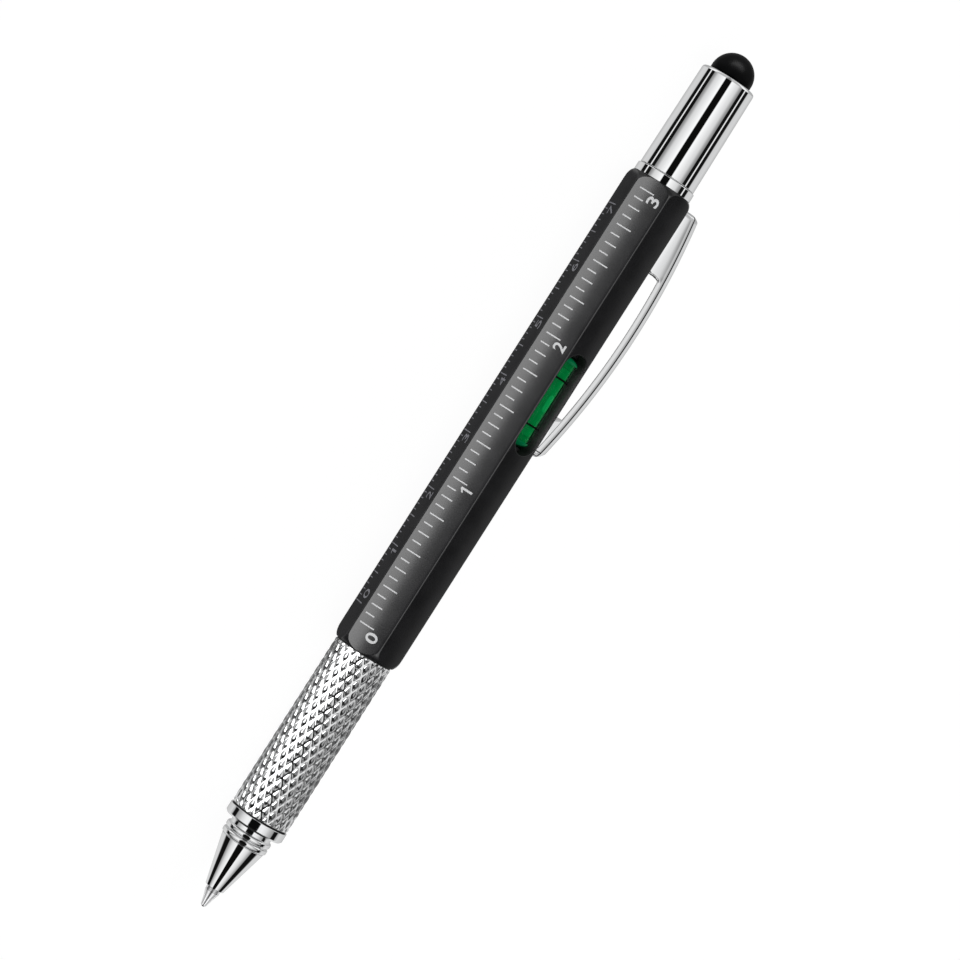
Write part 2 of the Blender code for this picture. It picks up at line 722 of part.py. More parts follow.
def make_barrel(parts, cutters, materials):
    """The hexagonal barrel: coned ends, a through bore, the level's slot and the clip's window."""
    bar = hex_mesh("hex_barrel", 2 * APOTHEM, BARREL_LENGTH + 2 * OVERRUN, EDGE_RADIUS)
    barrel = new_object("hex_barrel", bar, (0.0, 0.0, BARREL_Z - OVERRUN), parts)
    combine(barrel, end_envelope(cutters), "INTERSECT")
    slot = slot_mesh("level_slot", SLOT_HALF_WIDTH, SLOT_LENGTH, APOTHEM + OVERRUN)
    combine(barrel, cutter("level_slot", slot, (0.0, 0.0, LEVEL_Z), cutters), "DIFFERENCE")
    window_size = (APOTHEM + OVERRUN, LUG_WIDTH + 2 * LUG_CLEARANCE, LUG_LENGTH + 2 * LUG_CLEARANCE)
    window = box_mesh("clip_window", window_size)
    reach = window_size[0] / 2
    spot = (reach * math.cos(CLIP_FACE), reach * math.sin(CLIP_FACE), lug_z())
    combine(barrel, cutter("clip_window", window, spot, cutters, CLIP_FACE), "DIFFERENCE")
    bore_length = BARREL_LENGTH + 2 * OVERRUN
    bore = rod("barrel_bore", BORE_RADIUS, bore_length, BARREL_Z - OVERRUN, cutters, ROUND_STEPS)
    combine(barrel, as_cutter(bore), "DIFFERENCE")
    barrel.data.materials.append(materials["black_lacquer"])


def make_level(parts, cutters, materials):
    """The spirit level: cradle, clear tube and end plugs, green liquid, marker rings and bubble."""
    lift = APOTHEM - VIAL_SINK - VIAL_RADIUS
    vial_z = LEVEL_Z - VIAL_LENGTH / 2
    trough_radius = VIAL_RADIUS + MARKER_THICKNESS + RUNNING_GAP
    cradle = rod(
        "level_cradle", BORE_RADIUS - SEAT_GAP, CRADLE_LENGTH, LEVEL_Z - CRADLE_LENGTH / 2, parts, ROUND_STEPS
    )
    sides = [(BORE_RADIUS + OVERRUN, trough_radius), (BORE_RADIUS + OVERRUN, -trough_radius)]
    trough = sides + arc((lift, 0.0), (trough_radius,) * 2, -90, -270, 12)
    trough_mesh = flat_solid("cradle_trough", trough, VIAL_LENGTH + 2 * RUNNING_GAP, parts)
    combine(cradle, cutter("cradle_trough", trough_mesh, (0.0, 0.0, LEVEL_Z), cutters), "DIFFERENCE")
    cradle.data.materials.append(materials["dark_plastic"])

    inner = VIAL_RADIUS - VIAL_WALL
    tube_length = VIAL_LENGTH - 2 * VIAL_DOME
    tube_z = vial_z + VIAL_DOME
    vial = tube("vial_tube", VIAL_RADIUS, inner, tube_length, tube_z, parts, ROUND_STEPS // 2, lift)
    vial.data.materials.append(materials["clear_acrylic"])

    liquid_radius = inner - SEAT_GAP
    liquid_length = tube_length - 2 * (PLUG_SHANK_LENGTH + RUNNING_GAP)
    liquid_z = LEVEL_Z - liquid_length / 2
    liquid = rod("vial_liquid", liquid_radius, liquid_length, liquid_z, parts, ROUND_STEPS // 2, lift)
    track_radius = BUBBLE_RADIUS + RUNNING_GAP
    track_length = liquid_length + 2 * OVERRUN
    track = rod(
        "bubble_track",
        track_radius,
        track_length,
        LEVEL_Z - track_length / 2,
        cutters,
        INNER_STEPS // 2,
        lift + BUBBLE_LIFT + SEAT_GAP,
    )
    combine(liquid, as_cutter(track), "DIFFERENCE")
    liquid.data.materials.append(materials["green_liquid"])

    ends = (("vial_plug_front", -1), ("vial_plug_rear", 1))
    for name, side in ends:
        make_vial_plug(name, side, tube_length / 2, liquid_radius, lift, parts, materials)
    rings = (("marker_ring_front", -1), ("marker_ring_rear", 1))
    for name, side in rings:
        ring_z = LEVEL_Z + side * MARKER_SPACING / 2 - MARKER_WIDTH / 2
        ring_inner = VIAL_RADIUS + MARKER_THICKNESS / 5
        ring_outer = VIAL_RADIUS + MARKER_THICKNESS
        ring = tube(name, ring_outer, ring_inner, MARKER_WIDTH, ring_z, parts, ROUND_STEPS // 2, lift)
        ring.data.materials.append(materials["marker_black"])

    half = BUBBLE_LENGTH / 2 - BUBBLE_RADIUS
    cap_top = arc((0.0, half), (BUBBLE_RADIUS,) * 2, 90, 0, 4)
    cap_bottom = arc((0.0, -half), (BUBBLE_RADIUS,) * 2, 0, -90, 4)
    outline = [(0.0, cap_top[0][1])] + cap_top[1:] + cap_bottom[:-1] + [(0.0, cap_bottom[-1][1])]
    bubble = turned("level_bubble", outline, LEVEL_Z, parts, INNER_STEPS // 2, lift + BUBBLE_LIFT)
    bubble.data.materials.append(materials["air"])


def make_vial_plug(name, side, seat, shank_radius, lift, parts, materials):
    """A clear end plug: a shank inside the tube and a dome that closes it."""
    dome = arc((0.0, SEAT_GAP), (VIAL_RADIUS, VIAL_DOME - SEAT_GAP), 90, 0)
    outline = [(0.0, dome[0][1])] + dome[1:]
    outline += [(shank_radius, SEAT_GAP), (shank_radius, -PLUG_SHANK_LENGTH), (0.0, -PLUG_SHANK_LENGTH)]
    plug = turned(name, outline, LEVEL_Z + side * seat, parts, ROUND_STEPS // 2, lift)
    if side < 0:
        plug.rotation_euler = (math.pi, 0.0, 0.0)
    plug.data.materials.append(materials["clear_acrylic"])


def make_cap_bush(parts, cutters, materials):
    """The chrome bush in the barrel's top: a flange, a spigot for the cap and a hexagonal bit socket."""
    shank_radius = BORE_RADIUS - SEAT_GAP
    flange_top = FLANGE_Z + FLANGE_LENGTH
    top = flange_top + SPIGOT_LENGTH
    groove_floor = SPIGOT_RADIUS - RING_GROOVE_DEPTH
    ring_z = flange_top + CAP_RING_HEIGHT
    half_groove = RING_WIRE_RADIUS + RUNNING_GAP
    magnet_bore = MAGNET_RADIUS + SEAT_GAP
    outline = [
        (SPIGOT_RADIUS - SPIGOT_CHAMFER, top),
        (SPIGOT_RADIUS, top - SPIGOT_CHAMFER),
        (SPIGOT_RADIUS, ring_z + half_groove),
        (groove_floor, ring_z + half_groove),
        (groove_floor, ring_z - half_groove),
        (SPIGOT_RADIUS, ring_z - half_groove),
        (SPIGOT_RADIUS, flange_top),
        (FLANGE_RADIUS - FLANGE_EDGE, flange_top),
        (FLANGE_RADIUS, flange_top - FLANGE_EDGE),
        (FLANGE_RADIUS, FLANGE_Z),
        (shank_radius, FLANGE_Z),
        (shank_radius, CAP_BUSH_Z),
        (MAGNET_RADIUS - MAGNET_LEDGE, CAP_BUSH_Z),
        (MAGNET_RADIUS - MAGNET_LEDGE, CAP_BUSH_Z + MAGNET_LEDGE),
        (magnet_bore, CAP_BUSH_Z + MAGNET_LEDGE),
        (magnet_bore, top),
    ]
    bush = turned("cap_bush", outline, 0.0, parts, CAP_BUSH_STEPS)
    socket_z = BIT_Z
    socket_width = BIT_ACROSS_FLATS + 2 * RUNNING_GAP
    socket = hex_mesh("bit_socket", socket_width, top + OVERRUN - socket_z, 0.0)
    combine(bush, cutter("bit_socket", socket, (0.0, 0.0, socket_z), cutters), "DIFFERENCE")
    bush.data.materials.append(materials["chrome"])

    magnet = rod("bit_magnet", MAGNET_RADIUS, MAGNET_LENGTH, MAGNET_Z, parts)
    magnet.data.materials.append(materials["steel"])
    ring_seal("cap_o_ring", groove_floor, ring_z, materials["rubber"], parts)


def bit_envelope(cutters):
    """The turned outline of the bit: a hexagonal middle, a neck at each end and a pointed top."""
    corner = BIT_ACROSS_FLATS / math.sqrt(3)
    shoulder = BIT_TIP_LENGTH + corner - BIT_NECK_RADIUS
    point_length = BIT_TIP_LENGTH / 2
    outline = [
        (0.0, BIT_LENGTH),
        (CROSS_POINT_RADIUS, BIT_LENGTH),
        (BIT_NECK_RADIUS, BIT_LENGTH - point_length),
        (BIT_NECK_RADIUS, BIT_LENGTH - BIT_TIP_LENGTH),
        (corner, BIT_LENGTH - shoulder),
        (corner, shoulder),
        (BIT_NECK_RADIUS, BIT_TIP_LENGTH),
        (BIT_NECK_RADIUS, 0.0),
        (0.0, 0.0),
    ]
    return as_cutter(turned("bit_outline", outline, BIT_Z, cutters, INNER_STEPS))


def make_bit(parts, cutters, materials):
    """The double-ended bit: a cross point under the cap and a flat blade down in the socket."""
    shank = hex_mesh("driver_bit", BIT_ACROSS_FLATS, BIT_LENGTH + 2 * OVERRUN, 0.0)
    bit = new_object("driver_bit", shank, (0.0, 0.0, BIT_Z - OVERRUN), parts)
    combine(bit, bit_envelope(cutters), "INTERSECT")

    flute_length = BIT_TIP_LENGTH
    flute_width = BIT_ACROSS_FLATS
    lean = math.atan2(CROSS_WING_THICKNESS, flute_length)
    flute = box_mesh("cross_flute", (flute_width, flute_width, flute_length * 2))
    corner_offset = CROSS_WING_THICKNESS / 2 + flute_width / 2
    for i in range(4):
        turn = math.pi / 4 + i * math.pi / 2
        away = corner_offset * math.sqrt(2)
        spot = (away * math.cos(turn), away * math.sin(turn), BIT_Z + BIT_LENGTH)
        tool = cutter(f"cross_flute_{i + 1}", flute.copy(), spot, cutters)
        square = Matrix.Rotation(turn, 4, "Z") @ Matrix.Rotation(-lean, 4, "Y")
        tool.matrix_local = Matrix.Translation(Vector(spot)) @ square @ Matrix.Rotation(math.pi / 4, 4, "Z")
        combine(bit, tool, "DIFFERENCE")
    bpy.data.meshes.remove(flute)

    blade_lean = math.atan2((BLADE_ROOT_THICKNESS - BLADE_THICKNESS) / 2, BIT_TIP_LENGTH)
    side_size = (flute_width, 2 * flute_width, 2 * BIT_TIP_LENGTH)
    for i, side in enumerate((-1, 1)):
        spot = (side * (BLADE_THICKNESS + flute_width) / 2, 0.0, BIT_Z)
        tool = cutter(f"blade_side_{i + 1}", box_mesh("blade_side", side_size), spot, cutters)
        tool.rotation_euler = (0.0, side * blade_lean, 0.0)
        combine(bit, tool, "DIFFERENCE")
    bit.data.materials.append(materials["tool_steel"])


def make_cap(parts, materials):
    """The stylus cap: a chrome sleeve, the plug in its end and the rubber dome on the plug's stem."""
    edge_centre = (CAP_TOP_RADIUS - CAP_EDGE_RADIUS, CAP_LENGTH - CAP_EDGE_RADIUS)
    edge = arc(edge_centre, (CAP_EDGE_RADIUS,) * 2, 90, 0)
    outline = [(STYLUS_HOLE_RADIUS, CAP_LENGTH), *edge, (CAP_BASE_RADIUS, 0.0), (CAP_BORE_RADIUS, 0.0)]
    outline += [
        (CAP_BORE_RADIUS, CAP_LENGTH - CAP_END_WALL),
        (STYLUS_HOLE_RADIUS, CAP_LENGTH - CAP_END_WALL),
    ]
    sleeve = turned("cap_sleeve", outline, CAP_Z, parts, ROUND_STEPS)
    sleeve.data.materials.append(materials["chrome"])

    stem_radius = STYLUS_HOLE_RADIUS - SEAT_GAP
    stem_top = STYLUS_PLUG_TOP_Z + CAP_END_WALL + STYLUS_STEM_LENGTH
    plug_radius = CAP_BORE_RADIUS - SEAT_GAP
    plug = turned(
        "stylus_plug",
        [
            (0.0, stem_top),
            (stem_radius, stem_top),
            (stem_radius, STYLUS_PLUG_TOP_Z),
            (plug_radius, STYLUS_PLUG_TOP_Z),
            (plug_radius, STYLUS_PLUG_Z),
            (0.0, STYLUS_PLUG_Z),
        ],
        0.0,
        parts,
        ROUND_STEPS // 2,
    )
    plug.data.materials.append(materials["dark_plastic"])

    dome_z = CAP_Z + CAP_LENGTH + JOINT_LINE
    crown = arc((0.0, DOME_SKIRT), (DOME_RADIUS,) * 2, 90, 0, 7)
    hollow_top = stem_top + SEAT_GAP - dome_z
    outline = [(0.0, crown[0][1])] + crown[1:]
    outline += [
        (DOME_RADIUS, DOME_EDGE),
        (DOME_RADIUS - DOME_EDGE, 0.0),
        (STYLUS_HOLE_RADIUS, 0.0),
        (STYLUS_HOLE_RADIUS, hollow_top),
        (0.0, hollow_top),
    ]
    dome = turned("stylus_dome", outline, dome_z, parts, ROUND_STEPS)
    dome.data.materials.append(materials["rubber"])


def clip_top_z():
    return BARREL_TOP_Z - CLIP_TOP_SETBACK


def lug_z():
    return clip_top_z() - LUG_SETBACK - LUG_LENGTH / 2


def clip_arc(drop, start, end, steps):
    """Points of the clip's long arc, a distance under its back, between two places below its top.

    The arc's crown stands CLIP_CROWN_HEIGHT over the pen's axis.
    """
    radius = CLIP_ARC_RADIUS - drop
    points = []
    for i in range(steps + 1):
        along = start + (end - start) * i / steps
        off = along + CLIP_CROWN_SETBACK
        height = CLIP_CROWN_HEIGHT - CLIP_ARC_RADIUS + math.sqrt(radius * radius - off * off)
        points.append((along, height))
    return points


def clip_outline(inset, floor, steps=12):
    """The clip's side view, as places below its top and heights over the axis, inset all round.

    A floor closes the outline straight across, for the hollow, and without one the root stands on
    the barrel's flat and the arm rises clear of it.
    """
    top = -inset
    tip = inset - CLIP_LENGTH
    corner = CLIP_END_RADIUS - inset
    back = clip_arc(inset, top - corner, tip + corner, steps)
    first, last = back[0][1], back[-1][1]
    outline = arc((top - corner, first - corner), (corner, corner), 0, 90)[:-1]
    outline += back
    outline += arc((tip + corner, last - corner), (corner, corner), 90, 180)[1:]
    if floor is not None:
        return outline + [(tip, floor), (top, floor)]
    arm = clip_arc(CLIP_DEPTH, tip + CLIP_WALL, -CLIP_ROOT_LENGTH - CLIP_FILLET_RADIUS, steps)
    fillet_height = arm[-1][1] - CLIP_FILLET_RADIUS
    fillet_centre = (-CLIP_ROOT_LENGTH - CLIP_FILLET_RADIUS, fillet_height)
    seat = APOTHEM + SEAT_GAP
    outline += [(tip, arm[0][1])] + arm
    outline += arc(fillet_centre, (CLIP_FILLET_RADIUS,) * 2, 90, 0, 3)[1:]
    return outline + [(-CLIP_ROOT_LENGTH, seat), (top, seat)]


def rounded_block(name, outline, width, edge_radius, where):
    """A flat outline given its width, with every long edge rounded but those that face the barrel."""
    mesh = flat_solid(name, outline, width, where)
    shape = bmesh.new()
    shape.from_mesh(mesh)
    rounded = []
    for edge in shape.edges:
        normals = sorted((face.normal for face in edge.link_faces), key=lambda n: abs(n.z))
        faces_barrel = normals[0].y < -0.2
        if abs(normals[0].z) < 0.5 < abs(normals[1].z) and not faces_barrel:
            ends = [vert.co.y for vert in edge.verts]
            if min(ends) > APOTHEM + edge_radius or abs(normals[0].x) > 0.5:
                rounded.append(edge)
    bmesh.ops.bevel(
        shape, geom=rounded, offset=edge_radius, segments=3, profile=0.5, affect="EDGES", clamp_overlap=True
    )
    shape.to_mesh(mesh)
    shape.free()
    return mesh


def make_clip(parts, cutters, materials):
    """The pressed spring clip: a channel closed at both ends, a foot at its tip and a lug at its root.

    It hangs from the empty clip_pivot, on the line where the root's upper end bears on the barrel.
    """
    pivot = bpy.data.objects.new("clip_pivot", None)
    parts.objects.link(pivot)
    pivot.parent = bpy.data.objects["pen_axis"]
    height = APOTHEM + SEAT_GAP
    pivot.location = (height * math.cos(CLIP_FACE), height * math.sin(CLIP_FACE), clip_top_z())
    pivot.rotation_euler = (0.0, 0.0, CLIP_FACE)

    # The outline's X runs up the pen and its Y out from the axis, and these turn it so.
    stand = Matrix(((0, 1, 0, -height), (0, 0, 1, 0), (1, 0, 0, 0), (0, 0, 0, 1)))
    body = rounded_block("clip", clip_outline(0.0, None), CLIP_WIDTH, CLIP_EDGE_RADIUS, parts)
    hollow = rounded_block(
        "clip_hollow",
        clip_outline(CLIP_WALL, APOTHEM - OVERRUN),
        CLIP_WIDTH - 2 * CLIP_WALL,
        CLIP_EDGE_RADIUS - CLIP_WALL,
        cutters,
    )
    foot_top = CLIP_WALL - CLIP_LENGTH + FOOT_LENGTH
    tip = CLIP_WALL / 2 - CLIP_LENGTH
    seat = APOTHEM + SEAT_GAP
    back = clip_arc(CLIP_WALL / 2, tip + CLIP_END_RADIUS, foot_top, 4)
    foot = [(foot_top, back[-1][1] - CLIP_DEPTH), (foot_top - FOOT_SLANT, seat), (tip + FOOT_SLANT, seat)]
    foot += [(tip, seat + CLIP_WALL), (tip, back[0][1] - CLIP_END_RADIUS)] + back
    lug_reach = BORE_RADIUS + LUG_CLEARANCE
    lug_end = lug_z() - clip_top_z()
    lug = [
        (lug_end - LUG_LENGTH / 2, lug_reach),
        (lug_end + LUG_LENGTH / 2, lug_reach),
        *clip_arc(CLIP_WALL / 2, lug_end + LUG_LENGTH / 2, lug_end - LUG_LENGTH / 2, 1),
    ]
    foot_mesh = flat_solid("clip_foot", foot, FOOT_WIDTH, cutters)
    lug_mesh = flat_solid("clip_lug", lug, LUG_WIDTH, cutters)
    clip = bpy.data.objects.new("clip", body)
    parts.objects.link(clip)
    clip.parent = pivot
    body.transform(stand)
    steps = ((hollow, "DIFFERENCE"), (foot_mesh, "UNION"), (lug_mesh, "UNION"))
    for mesh, operation in steps:
        mesh.transform(stand)
        tool = as_cutter(bpy.data.objects.new(mesh.name, mesh))
        cutters.objects.link(tool)
        tool.parent = pivot
        combine(clip, tool, operation)
    body.materials.append(materials["chrome"])


def main():
    clear_scene()
    parts = new_collection(COLLECTION_NAME)
    cutters = new_collection("cutters")
    materials = new_materials()

    # Up the pen is towards -X in the world, and the level's face looks up
    pen_axis = bpy.data.objects.new("pen_axis", None)
    parts.objects.link(pen_axis)
    pen_axis.location = (BARREL_Z + BARREL_LENGTH / 2, 0.0, APOTHEM)
    pen_axis.rotation_euler = (0.0, -math.pi / 2, 0.0)

    make_refill(parts, materials)
    make_nose_cone(parts, materials)
    make_grip(parts, materials)
    cam_z = make_grip_bush(parts, materials)
    make_twist_mechanism(parts, cutters, materials, cam_z)
    make_barrel(parts, cutters, materials)
    make_level(parts, cutters, materials)
    make_cap_bush(parts, cutters, materials)
    make_bit(parts, cutters, materials)
    make_cap(parts, materials)
    make_clip(parts, cutters, materials)


main()
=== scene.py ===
"""Looks of the multi tool pen: fine surfaces, finishes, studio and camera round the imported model.

Sizes in the classes are in millimetres. A place on the pen is given by its station, the distance
from the writing tip, and by two directions square to the pen: sideways, and up out of the level.
"""

import logging
import math
from dataclasses import dataclass, field
from enum import Enum

import bmesh
import bpy
import numpy as np
from mathutils import Matrix, Vector
from mathutils.kdtree import KDTree


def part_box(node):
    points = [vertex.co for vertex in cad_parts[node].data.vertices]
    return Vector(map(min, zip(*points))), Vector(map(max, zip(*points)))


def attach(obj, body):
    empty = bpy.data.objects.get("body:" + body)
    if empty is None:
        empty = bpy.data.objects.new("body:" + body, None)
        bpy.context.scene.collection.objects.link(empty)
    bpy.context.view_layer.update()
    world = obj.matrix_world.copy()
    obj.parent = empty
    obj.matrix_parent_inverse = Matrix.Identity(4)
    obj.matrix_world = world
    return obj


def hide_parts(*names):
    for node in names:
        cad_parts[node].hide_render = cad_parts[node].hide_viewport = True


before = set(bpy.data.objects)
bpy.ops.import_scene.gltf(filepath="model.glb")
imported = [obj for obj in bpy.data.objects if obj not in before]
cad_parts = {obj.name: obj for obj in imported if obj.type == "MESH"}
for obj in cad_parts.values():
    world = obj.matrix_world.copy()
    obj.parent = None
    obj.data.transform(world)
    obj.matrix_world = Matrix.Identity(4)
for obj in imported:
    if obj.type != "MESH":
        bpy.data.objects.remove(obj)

log = logging.getLogger("pen")

MM = 0.001
INCH = 25.4
WELD = 0.0005 * MM
CREASE = math.radians(32.0)
# Past a fillet a straight run is held flat over this share of the fillet.
HOLD = 0.12
# Stations of the grip's ends and of the level's middle.
GRIP_START, GRIP_END = 15.9, 44.97
LEVEL_MIDDLE = 90.85
# From one of the hexagon's flats to the next, and from a flat's middle to its corner.
FLAT_TURN = math.pi / 3
HALF_FLAT = math.pi / 6
Triple = tuple[float, float, float]
Pairs = tuple[tuple[float, float], ...]
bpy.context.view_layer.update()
TIP_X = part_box("writing_ball")[1].x
AXIS_Z = sum(corner.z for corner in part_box("hex_barrel")) / 2.0
MADE: dict["Finish", bpy.types.Material] = {}


class Face(Enum):
    """Flats that pieces are laid on, by their angle round the pen from the level's flat."""

    CLIP = 60.0
    INCH = -60.0
    METRIC = -120.0

    def place(self, station: np.ndarray, across: np.ndarray, out: np.ndarray) -> np.ndarray:
        """Points given on this flat: along the pen, across the flat, and out from the pen's axis.

        The flat's own pair (across, out) is turned about the pen by the flat's angle.

        Args:
            station: distances from the writing tip.
            across: distances from the flat's middle line.
            out: distances from the pen's axis along the flat's normal.

        Returns:
            An array of the inputs' common shape with three values to a point.
        """
        turn = math.radians(self.value)
        side = out * math.sin(turn) + across * math.cos(turn)
        up = out * math.cos(turn) - across * math.sin(turn)
        return stack(station, side, up)


def stack(station: np.ndarray, side: np.ndarray, up: np.ndarray) -> np.ndarray:
    """Three arrays of numbers made one array of points, in the pen's own millimetres."""
    return np.stack(np.broadcast_arrays(station, side, up), axis=-1).astype(float)


def to_world(points: np.ndarray) -> np.ndarray:
    """The pen's millimetres made the world's metres: X = tip - station, and Z from the axis."""
    return np.stack([TIP_X - points[..., 0] * MM, points[..., 1] * MM,
                     AXIS_Z + points[..., 2] * MM], axis=-1)


def from_flat(angle: np.ndarray) -> np.ndarray:
    """Angles measured from the normal of the nearest of a hexagon's flats."""
    return (angle + HALF_FLAT) % FLAT_TURN - HALF_FLAT


def scaled(colour: Triple, share: float) -> Triple:
    """A colour made darker or lighter by a share."""
    return tuple(share * part for part in colour)


def link(name: str, data: bpy.types.ID) -> bpy.types.Object:
    """Puts a new object that shows the data in the scene."""
    made = bpy.data.objects.new(name, data)
    bpy.context.scene.collection.objects.link(made)
    return made


def polar(station: np.ndarray, radius: np.ndarray, angle: np.ndarray,
          lift: float = 0.0) -> np.ndarray:
    """Points round an axis: side = radius sin(angle), up = lift + radius cos(angle).

    Args:
        station: distances from the writing tip.
        radius: distances from the axis.
        angle: angles round the axis in radians, from straight up.
        lift: how far the axis lies above the pen's own.

    Returns:
        The points, in the inputs' common shape.
    """
    return stack(station, radius * np.sin(angle), lift + radius * np.cos(angle))


def round_angles(count: int) -> np.ndarray:
    """Equal steps round a full turn, without the last, which is the first again."""
    return np.arange(count) * (math.tau / count)


def rounded_path(corners: list[Triple], closed: bool, steps: int = 6) -> np.ndarray:
    """A path of straight runs whose corners are arcs of circles.

    Each corner's arc touches both runs at radius * tan(half the turn) from the corner, and its
    points are the centre plus the radius along directions that turn evenly from the first run's
    normal to the second's. A point just off each arc's ends keeps the straight runs' shading flat.

    Args:
        corners: (station, radius, fillet) of each corner, in order.
        closed: whether the last corner joins the first.
        steps: how many runs an arc has.

    Returns:
        An array of (station, radius) pairs.
    """
    spots = np.array([corner[:2] for corner in corners], dtype=float)
    path: list[np.ndarray] = []
    count = len(corners)
    for i, (_, _, fillet) in enumerate(corners):
        here = spots[i]
        if fillet <= 0.0 or (not closed and i in (0, count - 1)):
            path.append(here[None, :])
            continue
        before, after = spots[i - 1] - here, spots[(i + 1) % count] - here
        to_before = before / np.hypot(*before)
        to_after = after / np.hypot(*after)
        half = 0.5 * math.acos(float(np.clip(to_before @ to_after, -1.0, 1.0)))
        reach = fillet / math.tan(half)
        middle = to_before + to_after
        centre = here + middle / np.hypot(*middle) * fillet / math.sin(half)
        first, last = here + to_before * reach, here + to_after * reach
        start, end = (math.atan2(*(spot - centre)[::-1]) for spot in (first, last))
        sweep = (end - start + math.pi) % math.tau - math.pi
        turns = start + sweep * np.linspace(0.0, 1.0, steps + 1)
        arc = centre + fillet * np.stack([np.cos(turns), np.sin(turns)], axis=1)
        hold = HOLD * fillet
        path.append(np.vstack([first + to_before * hold, arc, last + to_after * hold]))
    return np.vstack(path)


def smooth_least(one: np.ndarray, other: np.ndarray, blend: float) -> np.ndarray:
    """The lesser of two values, with the crease between them rounded over a blend's width.

    With share = clamp(1/2 + (other - one) / (2 blend)) it is the mix of other and one by share,
    less blend * share * (1 - share).

    Args:
        one: the first values.
        other: the second values.
        blend: how wide the rounding is.

    Returns:
        The rounded minimum.
    """
    share = np.clip(0.5 + 0.5 * (other - one) / blend, 0.0, 1.0)
    return other + (one - other) * share - blend * share * (1.0 - share)


def smooth_step(values: np.ndarray) -> np.ndarray:
    """The curve 3 v^2 - 2 v^3 on values held between 0 and 1."""
    held = np.clip(values, 0.0, 1.0)
    return held * held * (3.0 - 2.0 * held)


class Shell:
    """A closed surface gathered from grids of points, welded where the grids meet."""

    def __init__(self) -> None:
        """Starts with no points."""
        self.points: list[np.ndarray] = []
        self.quads: list[np.ndarray] = []
        self.count = 0

    def grid(self, points: np.ndarray, wrap_rows: bool = False, wrap_columns: bool = False,
             keep: np.ndarray | None = None) -> "Shell":
        """Adds a grid of points with a face on each cell.

        Args:
            points: rows by columns by three, in the pen's millimetres.
            wrap_rows: whether the last row joins the first.
            wrap_columns: whether the last column joins the first.
            keep: rows by columns of cells, false where the grid has a hole.

        Returns:
            This shell.
        """
        rows, columns = points.shape[:2]
        ids = self.count + np.arange(rows * columns).reshape(rows, columns)
        down = np.roll(ids, -1, axis=0)
        right = np.roll(ids, -1, axis=1)
        across = np.roll(down, -1, axis=1)
        cells = np.stack([ids, down, across, right], axis=-1)
        keep = np.ones((rows, columns), dtype=bool) if keep is None else keep.copy()
        if not wrap_rows:
            keep[-1, :] = False
        if not wrap_columns:
            keep[:, -1] = False
        self.points.append(points.reshape(-1, 3))
        self.quads.append(cells[keep])
        self.count += rows * columns
        return self

    def turned(self, path: np.ndarray, around: int, lift: float = 0.0,
               closed: bool = False) -> "Shell":
        """Adds a path of (station, radius) pairs revolved about an axis along the pen."""
        angle = round_angles(around)[None, :]
        rows = polar(path[:, 0:1], path[:, 1:2], angle, lift)
        return self.grid(rows, wrap_rows=closed, wrap_columns=True)

    def mesh(self, name: str, crease: float = CREASE) -> bpy.types.Mesh:
        """Makes the mesh in the world's metres: welded, facing outwards, smooth between creases."""
        world = to_world(np.concatenate(self.points))
        quads = np.concatenate(self.quads)
        mesh = bpy.data.meshes.new(name)
        mesh.vertices.add(len(world))
        mesh.vertices.foreach_set("co", world.ravel())
        mesh.loops.add(quads.size)
        mesh.loops.foreach_set("vertex_index", quads.ravel().astype(np.int32))
        mesh.polygons.add(len(quads))
        mesh.polygons.foreach_set("loop_start", np.arange(0, quads.size, 4, dtype=np.int32))
        mesh.update(calc_edges=True)
        mend(mesh)
        mesh.shade_smooth()
        mesh.set_sharp_from_angle(angle=crease)
        return mesh


def mend(mesh: bpy.types.Mesh) -> None:
    """Welds a mesh's doubled points and turns its faces outwards."""
    shape = bmesh.new()
    shape.from_mesh(mesh)
    bmesh.ops.remove_doubles(shape, verts=shape.verts, dist=WELD)
    bmesh.ops.recalc_face_normals(shape, faces=shape.faces)
    shape.to_mesh(mesh)
    shape.free()


def vertices(mesh: bpy.types.Mesh) -> np.ndarray:
    """The places of a mesh's vertices, in rows of three."""
    places = np.empty(len(mesh.vertices) * 3)
    mesh.vertices.foreach_get("co", places)
    return places.reshape(-1, 3)


